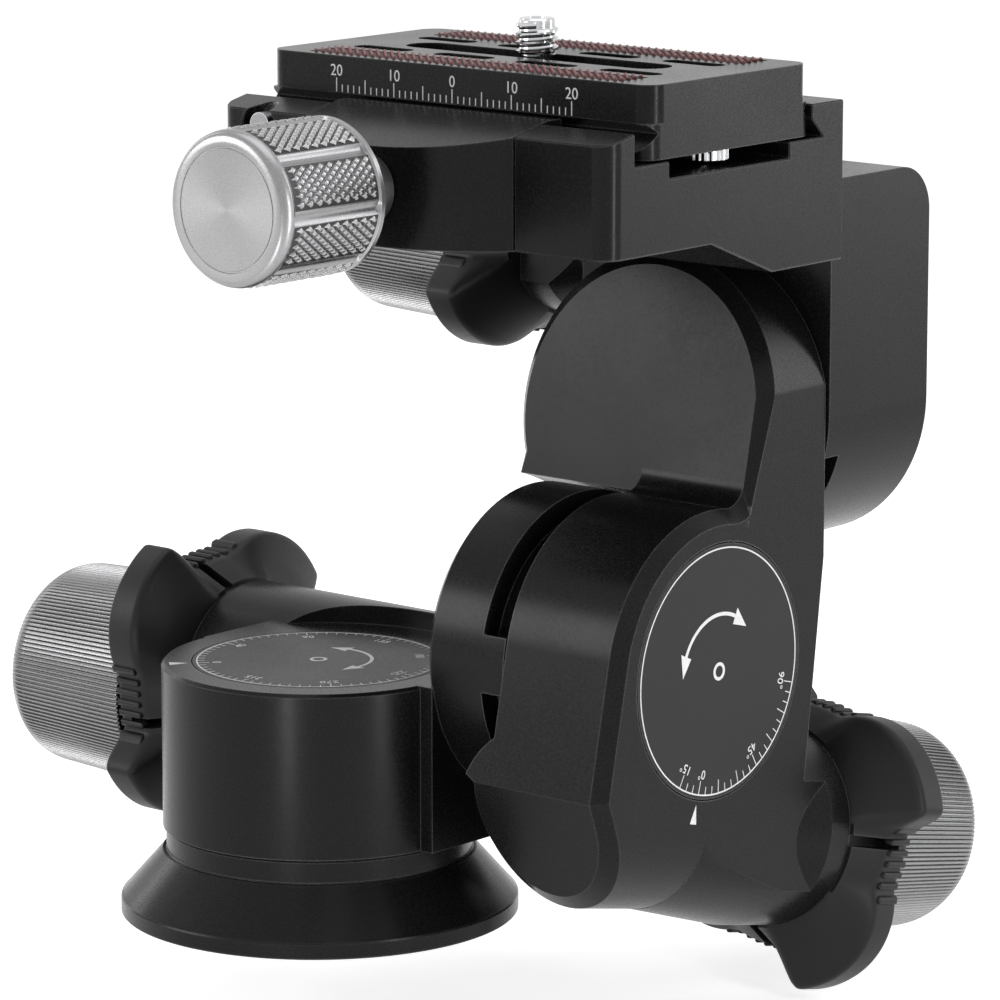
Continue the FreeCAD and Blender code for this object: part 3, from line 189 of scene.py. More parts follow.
def metal_finish(name, dark, light, metallic, rough_low, rough_high, grain_scale, bump, edge_highlight_colour,
                 edge_radius=0.00035, specular=0.5):
    """Blasted or machined metal: fine grain in colour, gloss and bump, and a painted edge highlight: paler colour
    along the edges, in patches set by broad noise.
    """
    material, shader, add, link = new_material(name)
    coords = add("ShaderNodeTexCoord").outputs["Object"]
    fine = grain(add, coords, grain_scale)
    broad = grain(add, coords, 60.0, 3.0)
    colour = mixed_colour(add, fine, dark, light)
    edge = edge_share(add, edge_radius)
    # Painted edge highlight: the paler edge colour is mixed in along the edges, broken up by broad noise.
    edge_highlight = add("ShaderNodeMath", {0: edge, 1: mapped(add, broad, 0.55, 1.0, 0.35, 0.65)}, operation="MULTIPLY")
    link(mixed_colour(add, edge_highlight.outputs[0], colour, edge_highlight_colour), "Base Color")
    rough = add("ShaderNodeMath", {0: mapped(add, fine, rough_low, rough_high, 0.3, 0.7),
                                   1: mapped(add, broad, -0.03, 0.03, 0.3, 0.7)}, operation="ADD")
    link(rough.outputs[0], "Roughness")
    shader.inputs["Metallic"].default_value = metallic
    shader.inputs["Specular IOR Level"].default_value = specular
    bumped(add, link, fine, bump)
    return material


def turned_finish(name, axis, centre, colour, roughness, ring_scale, bump, anisotropic=0.6):
    """Turned face: fine concentric rings round an axis, with a stretched highlight."""
    material, shader, add, link = new_material(name)
    coords = add("ShaderNodeTexCoord").outputs["Object"]
    offset = add("ShaderNodeVectorMath", {0: coords, 1: centre}, operation="SUBTRACT").outputs["Vector"]
    flat = [1.0, 1.0, 1.0]
    flat["XYZ".index(axis)] = 0.0
    flattened = add("ShaderNodeVectorMath", {0: offset, 1: flat}, operation="MULTIPLY").outputs["Vector"]
    radius = add("ShaderNodeVectorMath", {0: flattened}, operation="LENGTH").outputs["Value"]
    rings = add("ShaderNodeTexNoise", {"Scale": ring_scale, "Detail": 3.0, "W": radius}, noise_dimensions="1D")
    fine = grain(add, coords, 7000.0)
    link(mixed_colour(add, rings.outputs["Fac"], tuple(c * 0.86 for c in colour), colour), "Base Color")
    shader.inputs["Metallic"].default_value = 1.0
    link(mapped(add, fine, roughness - 0.05, roughness + 0.05, 0.3, 0.7), "Roughness")
    shader.inputs["Anisotropic"].default_value = anisotropic
    tangent = add("ShaderNodeTangent", direction_type="RADIAL", axis=axis)
    link(tangent.outputs["Tangent"], "Tangent")
    bumped(add, link, rings.outputs["Fac"], bump)
    return material


def printed_finish(name, colour):
    """Screen-printed ink: slightly uneven and matt."""
    material, _, add, link = new_material(name)
    coords = add("ShaderNodeTexCoord").outputs["Object"]
    speckle = grain(add, coords, 5000.0)
    link(mixed_colour(add, speckle, tuple(c * 0.85 for c in colour), colour), "Base Color")
    link(mapped(add, speckle, 0.45, 0.6), "Roughness")
    bumped(add, link, speckle, 0.1, 0.00001)
    return material


def rubber_finish(name, dark, light):
    """Grip rubber: fine pores, and a painted highlight that makes the crests of the ridges paler."""
    material, _, add, link = new_material(name)
    coords = add("ShaderNodeTexCoord").outputs["Object"]
    pores = grain(add, coords, 4500.0)
    height_along = add("ShaderNodeSeparateXYZ", {0: coords}).outputs["Z"]
    # Painted highlight: points near the top of the ridges are mixed towards the light colour.
    ridge = mapped(add, height_along, 0.0, 1.0, (PLATE_TOP - 0.25) * MM, (PLATE_TOP + 0.4) * MM)
    share = add("ShaderNodeMath", {0: ridge, 1: mapped(add, pores, 0.7, 1.0)}, operation="MULTIPLY").outputs[0]
    link(mixed_colour(add, share, dark, light), "Base Color")
    link(mapped(add, pores, 0.55, 0.75), "Roughness")
    bumped(add, link, pores, 0.3)
    return material


# In each metal finish, the last colour is the paler colour of its painted edge highlight.
BLACK = metal_finish("black_anodised_satin", (0.0015, 0.0015, 0.0016), (0.012, 0.012, 0.0125), 0.0,
                     0.20, 0.33, 3400.0, 0.16, (0.16, 0.16, 0.165), specular=0.14)
BLACK_DIAL = metal_finish("black_anodised_dial", (0.006, 0.006, 0.0065), (0.022, 0.022, 0.023), 0.0,
                          0.32, 0.46, 3600.0, 0.16, (0.12, 0.12, 0.125), specular=0.2)
COLLAR = metal_finish("black_collar_matt", (0.004, 0.004, 0.0043), (0.014, 0.014, 0.0145), 0.0,
                      0.38, 0.52, 3000.0, 0.4, (0.05, 0.05, 0.052), 0.0006, specular=0.22)
SILVER = metal_finish("aluminium_bead_blasted", (0.22, 0.22, 0.224), (0.34, 0.34, 0.347), 1.0,
                      0.26, 0.38, 4200.0, 0.25, (0.60, 0.60, 0.61))
# The drive knobs' own silver aluminium, made darker than SILVER: partly painted shade for their grooved, shaded
# look.
RIBBED = metal_finish("aluminium_ribbed_painted_shade", (0.13, 0.13, 0.133), (0.21, 0.21, 0.213), 1.0,
                      0.24, 0.36, 4200.0, 0.25, (0.45, 0.45, 0.455))
KNURLED = metal_finish("aluminium_knurled", (0.26, 0.26, 0.265), (0.38, 0.38, 0.385), 1.0,
                       0.20, 0.30, 4800.0, 0.2, (0.66, 0.66, 0.67))
# Painted shade: a dark copy of the knurled aluminium, for the drum's floor between the diamonds.
KNURL_VALLEY_SHADE = metal_finish("aluminium_knurl_valley_painted_shade", (0.035, 0.035, 0.036), (0.075, 0.075, 0.077), 1.0,
                           0.34, 0.48, 4800.0, 0.3, (0.12, 0.12, 0.122))
STEEL = metal_finish("steel_ground", (0.20, 0.20, 0.206), (0.30, 0.30, 0.307), 1.0,
                     0.22, 0.36, 3500.0, 0.3, (0.65, 0.65, 0.67))
BRONZE = metal_finish("bronze_machined", (0.40, 0.27, 0.11), (0.54, 0.38, 0.18), 1.0,
                      0.26, 0.40, 3500.0, 0.3, (0.72, 0.55, 0.30))
CHROME = metal_finish("chrome_plated", (0.48, 0.49, 0.50), (0.60, 0.61, 0.62), 1.0,
                      0.08, 0.16, 3000.0, 0.08, (0.85, 0.85, 0.86))
INK = printed_finish("white_print", (0.86, 0.86, 0.86))
# The rubber's light colour is the painted highlight on the crests of its ridges.
RUBBER = rubber_finish("maroon_rubber", (0.030, 0.008, 0.009), (0.25, 0.085, 0.085))


# ================================================================ meshes
def raw_mesh(name, vertices, faces):
    """A mesh from points in millimetres."""
    mesh = bpy.data.meshes.new(name)
    mesh.from_pydata([Vector(v) * MM for v in vertices], [], faces)
    return mesh


def facing_out(mesh):
    """A mesh with its faces turned outwards."""
    bm = bmesh.new()
    bm.from_mesh(mesh)
    bmesh.ops.recalc_face_normals(bm, faces=bm.faces)
    bm.to_mesh(mesh)
    bm.free()
    return mesh


def piece(name, vertices, faces, material, body, slot, replaced=(), smooth_angle=35):
    """A mesh object from points in millimetres, smooth except at sharp edges, riding on a body."""
    return finished(name, raw_mesh(name, vertices, faces), material, body, replaced, smooth_angle)


def finished(name, mesh, material, body, replaced=(), smooth_angle=35):
    """Clean normals, set smoothness and material, and hang the piece on its body."""
    bm = bmesh.new()
    bm.from_mesh(mesh)
    bmesh.ops.recalc_face_normals(bm, faces=bm.faces)
    limit = math.radians(smooth_angle)
    for face in bm.faces:
        face.smooth = True
        face.material_index = 0
    for edge in bm.edges:
        edge.smooth = len(edge.link_faces) == 2 and edge.calc_face_angle(0) < limit
    bm.to_mesh(mesh)
    bm.free()
    mesh.materials.clear()
    mesh.materials.append(material)
    thing = bpy.data.objects.new(name, mesh)
    bpy.context.scene.collection.objects.link(thing)
    weighted = thing.modifiers.new("weighted_normals", "WEIGHTED_NORMAL")
    weighted.keep_sharp = True
    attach(thing, body)
    if replaced:
        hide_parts(*replaced)
    return thing


def body_of(node):
    """The CAD body that a node rides on."""
    return NODES[node]["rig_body"]


def basis(origin, x_direction, z_direction):
    """Matrix of a local frame, in millimetres, from its origin and two directions."""
    z = Vector(z_direction).normalized()
    x = Vector(x_direction).normalized()
    y = z.cross(x)
    matrix = Matrix((x, y, z)).transposed().to_4x4()
    matrix.translation = Vector(origin)
    return matrix


def polar(radius, angle, height=0.0):
    """Point at a radius and an angle in degrees about Z."""
    return Vector((radius * math.cos(math.radians(angle)), radius * math.sin(math.radians(angle)), height))


def circle(radius, height, columns):
    """Points of a circle about Z."""
    return [polar(radius, 360 * column / columns, height) for column in range(columns)]


def turned(matrix, angle):
    """A frame turned by an angle in degrees about its own Z."""
    return matrix @ Matrix.Rotation(math.radians(angle), 4, "Z")


def skin(sections, closed_ends=True):
    """Faces between closed sections of equally many points, with capped ends."""
    count = len(sections[0])
    vertices = [point for section in sections for point in section]
    faces = []
    for level in range(len(sections) - 1):
        for index in range(count):
            following = (index + 1) % count
            faces.append((level * count + index, level * count + following,
                          (level + 1) * count + following, (level + 1) * count + index))
    if closed_ends:
        faces.append(tuple(range(count)))
        faces.append(tuple((len(sections) - 1) * count + index for index in range(count)))
    return vertices, faces


def ring_skin(sections):
    """Faces between closed sections, the last of them joined to the first."""
    vertices, faces = skin(sections, closed_ends=False)
    count = len(sections[0])
    last = (len(sections) - 1) * count
    faces += [(last + index, last + (index + 1) % count, (index + 1) % count, index) for index in range(count)]
    return vertices, faces


def moved(vertices, matrix):
    """Points moved by a matrix."""
    return [matrix @ Vector(v) for v in vertices]


def joined(parts):
    """Several (vertices, faces) pairs as one."""
    vertices, faces = [], []
    for part_vertices, part_faces in parts:
        offset = len(vertices)
        vertices.extend(part_vertices)
        faces.extend(tuple(index + offset for index in face) for face in part_faces)
    return vertices, faces


def span(node, origin, direction):
    """Lowest and highest place of a CAD node along an axis, and its greatest distance from it, in millimetres."""
    low, high, reach = 1e9, -1e9, 0.0
    for vertex in NODES[node].data.vertices:
        offset = vertex.co / MM - origin
        along = offset.dot(direction)
        low = min(low, along)
        high = max(high, along)
        reach = max(reach, (offset - direction * along).length)
    return low, high, reach


def revolved(profile, matrix, columns=144):
    """Solid of revolution from (radius, height) points of a closed section, about a frame's Z."""
    return ring_skin([moved(circle(radius, height, columns), matrix) for radius, height in profile])


def plain_box(low, high):
    """Box between two corners, in millimetres."""
    corners = [Vector((x, y, z)) for x in (low[0], high[0]) for y in (low[1], high[1])
               for z in (low[2], high[2])]
    return corners, [(0, 1, 3, 2), (4, 6, 7, 5), (0, 4, 5, 1), (2, 3, 7, 6), (0, 2, 6, 4), (1, 5, 7, 3)]


def axis_of(joint):
    """Origin in millimetres and direction of a joint's axis."""
    return Vector(JOINTS[joint]["pos_m"]) / MM, Vector(JOINTS[joint]["axis"]).normalized()


def solid_object(vertices, faces):
    """Throw-away object for a boolean cut, in millimetres scaled to metres."""
    thing = bpy.data.objects.new("cutter", facing_out(raw_mesh("cutter", vertices, faces)))
    bpy.context.scene.collection.objects.link(thing)
    return thing


def carved(mesh, steps):
    """A mesh after boolean steps, each an operation and a (vertices, faces) solid."""
    base = bpy.data.objects.new("base", mesh)
    bpy.context.scene.collection.objects.link(base)
    tools = []
    for operation, (vertices, faces) in steps:
        tool = solid_object(vertices, faces)
        tools.append(tool)
        modifier = base.modifiers.new("step", "BOOLEAN")
        modifier.operation = operation
        modifier.solver = "EXACT"
        modifier.object = tool
    depsgraph = bpy.context.evaluated_depsgraph_get()
    result = bpy.data.meshes.new_from_object(base.evaluated_get(depsgraph), depsgraph=depsgraph)
    for thing in [base] + tools:
        bpy.data.objects.remove(thing)
    return result


def solid_of(mesh):
    """A mesh as (vertices, faces) in millimetres."""
    return [vertex.co / MM for vertex in mesh.vertices], [tuple(face.vertices) for face in mesh.polygons]


def edge_middle(edge):
    """Middle of an edge, in millimetres."""
    return (edge.verts[0].co + edge.verts[1].co) / 2 / MM


def bevelled(mesh, width, chosen, clamp_overlap):
    """Merge a mesh's doubled points and flat faces, and bevel the chosen edges in one flat step."""
    bm = bmesh.new()
    bm.from_mesh(mesh)
    bmesh.ops.remove_doubles(bm, verts=bm.verts, dist=MERGE_DISTANCE)
    bmesh.ops.dissolve_limit(bm, angle_limit=FLAT_ANGLE, verts=bm.verts, edges=bm.edges)
    edges = [edge for edge in bm.edges if len(edge.link_faces) == 2 and chosen(edge)]
    bmesh.ops.bevel(bm, geom=edges, offset=width * MM, segments=1, profile=0.5, affect="EDGES",
                    clamp_overlap=clamp_overlap)
    bm.to_mesh(mesh)
    bm.free()
    return mesh


def is_sharp(edge):
    """Whether an edge is broken: sharp, and not at the bottom of the jaw's pin holes."""
    return edge.calc_face_angle(0) > SHARP_ANGLE and not inside_jaw(edge)


def merged_copy(node):
    """Copy of a CAD node's mesh with its doubled points merged."""
    mesh = bpy.data.meshes.new_from_object(NODES[node])
    bm = bmesh.new()
    bm.from_mesh(mesh)
    bmesh.ops.remove_doubles(bm, verts=bm.verts, dist=MERGE_DISTANCE)
    bm.to_mesh(mesh)
    bm.free()
    return mesh


def dressed(node, width, material, steps=(), mesh=None):
    """Copy of a CAD node with broken edges, after any boolean steps, in its place."""
    mesh = mesh or merged_copy(node)
    if steps:
        mesh = carved(mesh, steps)
    mesh = bevelled(mesh, width, is_sharp, clamp_overlap=True)
    return finished(f"{node}_dressed", mesh, material, body_of(node), (node,), 20)


# ================================================================ tilt housing
ARM_FACE_Y = 29.8
ARM_CHAMFER = 2.0
ARM_FILLET = 4.0
HOUSING_LEFT_X = 39.5
NOSE_SLANT = math.radians(20)
ARM_EDGE_ANGLE = math.radians(15)   # flatter edges of the arm keep no chamfer
SAME_PLANE = 0.999                  # product of two normals that belong to one plane
ARM_FRONT_Y = 8.0
ARM_HEAD_Z = 66.0
SWELL_ROOM_RADIUS, SWELL_CHEEK_RADIUS = 22.0, 24.1
TILT_TUBE_FOOT = Vector((47.38, TILT_AXIS.y - 24 * math.sin(SLANT), TILT_AXIS.z - 24 * math.cos(SLANT)))
TILT_TUBE_DIRECTION = Vector((0, math.cos(SLANT), -math.sin(SLANT)))


def arm_edge(edge):
    """Whether an edge bounds the arm's front, the front facet or the nose facet on its outer side."""
    if not edge.is_convex or edge.calc_face_angle(0) < ARM_EDGE_ANGLE:
        return False
    first, second = (face.normal for face in edge.link_faces)
    middle = edge_middle(edge)
    slanted = Vector((0, -math.cos(SLANT), math.sin(SLANT)))
    nose = Vector((0, -math.cos(NOSE_SLANT), -math.sin(NOSE_SLANT)))
    if max(first.dot(nose), second.dot(nose)) > SAME_PLANE and middle.y < ARM_FRONT_Y:
        other = second if first.dot(nose) > SAME_PLANE else first
        return other.dot(slanted) < 0.9
    if max(first.dot(slanted), second.dot(slanted)) < SAME_PLANE:
        return False
    other = second if first.dot(slanted) > SAME_PLANE else first
    if middle.z > ARM_HEAD_Z:
        return abs(other.y) < 0.25
    return other.x > 0.99 and middle.y < ARM_FRONT_Y


def tube_swell():
    """Ring that swells the slanted tube towards its band, clear of the cheek and the wheel."""
    tube = basis(TILT_TUBE_FOOT, (1, 0, 0), TILT_TUBE_DIRECTION)
    ring = revolved([(12.0, 2.0), (12.0, 33.0), (15.5, 33.0), (15.5, 23.0), (13.1, 2.0)], tube)
    mesh = raw_mesh("swell", *ring)
    about_tilt = basis((0, TILT_AXIS.y, TILT_AXIS.z), (0, 1, 0), (1, 0, 0))
    room = revolved([(AXIS_RADIUS, 20.0), (AXIS_RADIUS, 70.0),
                     (SWELL_ROOM_RADIUS, 70.0), (SWELL_ROOM_RADIUS, 20.0)], about_tilt)
    cheek = revolved([(AXIS_RADIUS, 10.0), (AXIS_RADIUS, HOUSING_LEFT_X),
                      (SWELL_CHEEK_RADIUS, HOUSING_LEFT_X), (SWELL_CHEEK_RADIUS, 10.0)], about_tilt)
    return solid_of(carved(mesh, [("DIFFERENCE", room), ("DIFFERENCE", cheek)]))


def tube_pocket():
    """What is milled off the tube outside the flat face, up to the conical wall by its band."""
    tube = basis(TILT_TUBE_FOOT, (1, 0, 0), TILT_TUBE_DIRECTION)
    flat = TILT_FACE_X - TILT_TUBE_FOOT.x
    corners, faces = plain_box((flat, -12.0, -15.0), (flat + 8.0, 20.0, 31.5))
    mesh = raw_mesh("pocket", moved(corners, tube), faces)
    wall = revolved([(AXIS_RADIUS, 24.7), (AXIS_RADIUS, 36.0), (18.0, 36.0), (17.66, 35.0), (13.06, 24.7)], tube)
    return solid_of(carved(mesh, [("DIFFERENCE", wall)]))


def arm_fillet():
    """Concave fillet between the arm's slanted front and the drum, with the chamfer on its right end."""
    drum = Vector((0, TILT_AXIS.y, TILT_AXIS.z))
    foot = Vector((0, ARM_FACE_Y, ROLL_AXIS.z))
    front = Vector((0, -math.cos(SLANT), math.sin(SLANT)))
    up = Vector((0, math.sin(SLANT), math.cos(SLANT)))
    start = foot + front * ARM_FILLET - drum
    half = start.dot(up)
    reach = DRUM_RADIUS + ARM_FILLET
    centre = drum + start + up * (-half + math.sqrt(half ** 2 - start.length_squared + reach ** 2))
    to_drum = (drum - centre).normalized()
    turn = (-front).angle(to_drum)
    axis = (-front).cross(to_drum).normalized()

    def section(x, radius):
        points = []
        for step in range(9):
            direction = Matrix.Rotation(turn * step / 8, 3, axis) @ -front
            points.append(centre + direction * radius)
        points.append(centre + to_drum * (ARM_FILLET + 5))
        points.append(centre - front * (ARM_FILLET + 5) + up * 0.5)
        return [Vector((x, point.y, point.z)) for point in points]

    return skin([section(HOUSING_LEFT_X, ARM_FILLET), section(TILT_FACE_X - ARM_CHAMFER, ARM_FILLET),
                 section(TILT_FACE_X, ARM_FILLET + ARM_CHAMFER)])


def tilt_housing():
    """Tilt housing with the arm's chamfer, the fillet at its root, and broken edges."""
    mesh = bevelled(merged_copy("tilt_housing"), ARM_CHAMFER, arm_edge, clamp_overlap=False)
    steps = [("UNION", arm_fillet()), ("UNION", tube_swell()), ("DIFFERENCE", tube_pocket())]
    return dressed("tilt_housing", 0.18, BLACK, steps, mesh)


# ================================================================ clamp jaw
JAW_MIDDLE = Vector((37.3, -4.75, 0))
JAW_BOW = 25.84             # radius of the jaw's front about JAW_MIDDLE
JAW_LOW, JAW_HIGH = 90.0, 135.0
JAW_PIN_SPACING = 13.0
JAW_PIN_HEIGHT = 113.0
JAW_PIN_ROOM = 2.4          # edges this near a pin's axis belong to its hole
JAW_HOLE_FRONT_Y = -20.0
PLUG_RADIUS, PLUG_FRONT_Y, PLUG_BACK_Y = 2.6, -27.2, -23.0
SHORT_PIN_END_Y = -22.8


def inside_jaw(edge):
    """Whether an edge belongs to the jaw's blind holes, whose ends lie close under its bowed front."""
    middle = edge_middle(edge)
    return (abs(middle.z - JAW_PIN_HEIGHT) < JAW_PIN_ROOM
            and abs(abs(middle.x - JAW_MIDDLE.x) - JAW_PIN_SPACING) < JAW_PIN_ROOM
            and middle.y < JAW_HOLE_FRONT_Y)


def jaw_pin_plugs():
    """Metal behind the jaw's bowed front that closes the ends of the guide pins' holes."""
    steps = []
    for x in (JAW_MIDDLE.x - JAW_PIN_SPACING, JAW_MIDDLE.x + JAW_PIN_SPACING):
        plug = basis((x, 0, JAW_PIN_HEIGHT), (1, 0, 0), (0, 1, 0))
        mesh = raw_mesh("plug", *revolved([(AXIS_RADIUS, PLUG_FRONT_Y), (AXIS_RADIUS, PLUG_BACK_Y),
                                           (PLUG_RADIUS, PLUG_BACK_Y), (PLUG_RADIUS, PLUG_FRONT_Y)], plug, 48))
        bow = basis((JAW_MIDDLE.x, JAW_MIDDLE.y, 0), (1, 0, 0), (0, 0, 1))
        limit = revolved([(AXIS_RADIUS, JAW_LOW), (AXIS_RADIUS, JAW_HIGH),
                          (JAW_BOW, JAW_HIGH), (JAW_BOW, JAW_LOW)], bow, 288)
        steps.append(("UNION", solid_of(carved(mesh, [("INTERSECT", limit)]))))
    return steps


def shortened_pins():
    """The guide pins, ended behind the jaw's bowed front."""
    cutter = plain_box((0, -40, 100), (80, SHORT_PIN_END_Y, 135))
    mesh = carved(merged_copy("guide_pins"), [("DIFFERENCE", cutter)])
    finished("guide_pins_short", mesh, STEEL, body_of("guide_pins"), ["guide_pins"], smooth_angle=30)


# ================================================================ drive knobs and collars
KNOB_RIBS = 150
KNOB_RIB_DEPTH = 0.34
KNOB_ROUNDING = 4.2
KNOB_BORE = 3.1
RIB_PROFILE = (0.0, 1.0, 1.0, 0.75, 0.0, 0.0)   # depth of a groove at equal steps round one rib


def ribbed_knob(name):
    """Finely ribbed, tapered drive knob with a rounded end."""
    origin, direction = axis_of(f"{name}_worm_spin")
    low, high, reach = span(f"{name}_knob", origin, direction)
    side = Vector((0, 0, 1)) if abs(direction.z) < 0.5 else Vector((1, 0, 0))
    matrix = basis(origin, side - direction * side.dot(direction), direction)
    taper = reach - 1.0
    profile = [(reach - 0.7, low, 0.0), (reach - 0.25, low + 0.12, 0.6), (reach, low + 0.45, 1.0)]
    profile.append((taper + 0.02, high - KNOB_ROUNDING, 1.0))
    for step in range(1, 7):
        angle = math.pi / 2 * step / 7
        profile.append((taper - KNOB_ROUNDING * (1 - math.cos(angle)),
                        high - KNOB_ROUNDING * (1 - math.sin(angle)), max(0.0, 1.0 - step / 6.5)))
    profile.append((taper - KNOB_ROUNDING, high, 0.0))
    columns = KNOB_RIBS * len(RIB_PROFILE)
    sections = []
    for radius, height, rib in profile:
        section = []
        for column in range(columns):
            depth = KNOB_RIB_DEPTH * rib * RIB_PROFILE[column % len(RIB_PROFILE)]
            section.append(polar(radius - depth, 360 * column / columns, height))
        sections.append(section)
    sections.insert(0, circle(KNOB_BORE, low, columns))
    sections.append(circle(7.5, high, columns))
    sections.append(circle(7.1, high - 0.5, columns))
    vertices, faces = skin(sections)
    # The knob's darker aluminium carries painted shade.
    return piece(f"{name}_knob_ribbed", moved(vertices, matrix), faces, RIBBED,
                 body_of(f"{name}_knob"), "natural_anodised", (f"{name}_knob",), 40)


COLLAR_TIP, COLLAR_VALLEY, COLLAR_RING = 25.4, 18.85, 16.0
COLLAR_BORE, COLLAR_WIDTH, COLLAR_DISH = 10.45, 10.6, 5.0
COLLAR_STEEP, COLLAR_RISE, COLLAR_SWELL = 6.0, 57.0, 2.6
COLLAR_RIBS, COLLAR_FIRST_RIB, COLLAR_RIB_PITCH = 7, 5.5, 5.3
COLLAR_POINTS = 480
COLLAR_SLOT_ANGLE, COLLAR_SLOT_HALF, COLLAR_SLOT_ROOT = 12.0, 0.85, 15.2
COLLAR_FRAMES = {"pan": ((0, 0, 1), -118.0), "tilt": ((1, 0, 0), -11.5), "roll": ((0, -1, 0), -24.0)}


def lobe_radius(angle):
    """Radius of the collar's plain outline at an angle from one steep flank."""
    angle %= 90
    if angle < COLLAR_STEEP:
        share = (1 + math.cos(math.pi * angle / COLLAR_STEEP)) / 2
    elif angle < 90 - COLLAR_RISE:
        share = 0.0
    else:
        share = 1 - (1 - (angle - 90 + COLLAR_RISE) / COLLAR_RISE) ** COLLAR_SWELL
    return COLLAR_VALLEY + (COLLAR_TIP - COLLAR_VALLEY) * share


def smooth_lobe_radius(angle):
    """The outline with its corners rounded over a few degrees."""
    offsets = (-3.0, -2.0, -1.0, 0.0, 1.0, 2.0, 3.0)
    return sum(lobe_radius(angle + offset) for offset in offsets) / len(offsets)


def collar_body():
    """Dished collar with four rounded lobes, in its drive's frame."""
    dish_slope = [(0.0, 0.0), (0.5, 0.5), (0.86, 0.86), (0.95, 0.962)]
    angles = [360 * index / COLLAR_POINTS for index in range(COLLAR_POINTS)]
    outline = [smooth_lobe_radius(angle) for angle in angles]
    sections = [[polar(COLLAR_BORE, angle, COLLAR_WIDTH) for angle in angles],
                [polar(COLLAR_BORE, angle, 0.0) for angle in angles]]
    for radial, axial in dish_slope:
        sections.append([polar(COLLAR_RING + (radius - COLLAR_RING) * radial, angle, COLLAR_DISH * axial)
                         for angle, radius in zip(angles, outline)])
    for inset, height in ((0.07, COLLAR_DISH + 0.32), (0.0, COLLAR_DISH + 0.85),
                          (0.0, COLLAR_WIDTH - 0.8), (0.12, COLLAR_WIDTH - 0.4),
                          (0.4, COLLAR_WIDTH - 0.12), (0.85, COLLAR_WIDTH)):
        sections.append([polar(radius - inset, angle, height) for angle, radius in zip(angles, outline)])
    return ring_skin(sections)


def rib_bar(angle):
    """One rounded grip bar across the collar's band, at an angle of its outline."""
    width, low, high = 1.0, COLLAR_DISH + 0.55, COLLAR_WIDTH - 0.25
    steps = 8
    ring_points = []
    half = width / 2
    for step in range(steps + 1):
        turn = math.pi * step / steps
        ring_points.append((-half * math.cos(turn), low + half - half * math.sin(turn)))
    ring_points += [(half, high), (-half, high)]
    middle_height = (low + high) / 2
    root = smooth_lobe_radius(angle)
    sections = []
    for inset, lift in ((0.0, -0.8), (0.0, 0.22), (0.16, 0.42), (0.4, 0.5)):
        section = []
        for across, height in ring_points:
            shrink = 1 - inset / half
            local_height = middle_height + (height - middle_height) * (1 - inset * 0.25)
            local_angle = angle + math.degrees(across * shrink / COLLAR_VALLEY)
            radius = root + (smooth_lobe_radius(local_angle) - root) * 0.6 + lift
            section.append(polar(radius, local_angle, local_height))
        sections.append(section)
    return skin(sections)


def release_collar(name):
    """Release collar of one drive, with its grip bars and slots."""
    origin, _ = axis_of(f"{name}_release_twist")
    _, direction = axis_of(f"{name}_worm_spin")
    x_direction, flank = COLLAR_FRAMES[name]
    low, _, _ = span(f"{name}_collar", origin, direction)
    matrix = turned(basis(origin + direction * low, x_direction, direction), flank)
    vertices, faces = collar_body()
    mesh = facing_out(raw_mesh("collar", moved(vertices, matrix), faces))
    corners, box_faces = plain_box((COLLAR_SLOT_ROOT, -COLLAR_SLOT_HALF, -3.0),
                                   (40.0, COLLAR_SLOT_HALF, COLLAR_WIDTH - 2.4))
    slots = [(moved(corners, turned(matrix, COLLAR_SLOT_ANGLE + 90 * lobe)), box_faces) for lobe in range(4)]
    mesh = carved(mesh, [("DIFFERENCE", joined(slots))])
    collar = finished(f"{name}_collar_lobed", mesh, COLLAR, body_of(f"{name}_collar"),
                      (f"{name}_collar",), 42)
    bars = []
    for lobe in range(4):
        for index in range(COLLAR_RIBS):
            angle = 90 * lobe + COLLAR_FIRST_RIB + COLLAR_RIB_PITCH * index
            bar_vertices, bar_faces = rib_bar(angle)
            bars.append((moved(bar_vertices, matrix), bar_faces))
    bar_piece = piece(f"{name}_collar_grips", *joined(bars), COLLAR, body_of(f"{name}_collar"), "black_collar")
    return collar, bar_piece


# ================================================================ clamp knob
KNOB_PADS, PAD_GROOVE_SPAN, FIRST_PAD_ANGLE = 8, 11.0, -9.0
DRUM_LENGTH, PAD_FLOOR_RADIUS, FACE_RADIUS = 20.4, 10.62, 9.7
DIAMOND_ROW_PITCH = 1.84
DIAMOND_ANGLE = math.degrees(1.24 / 11.0)


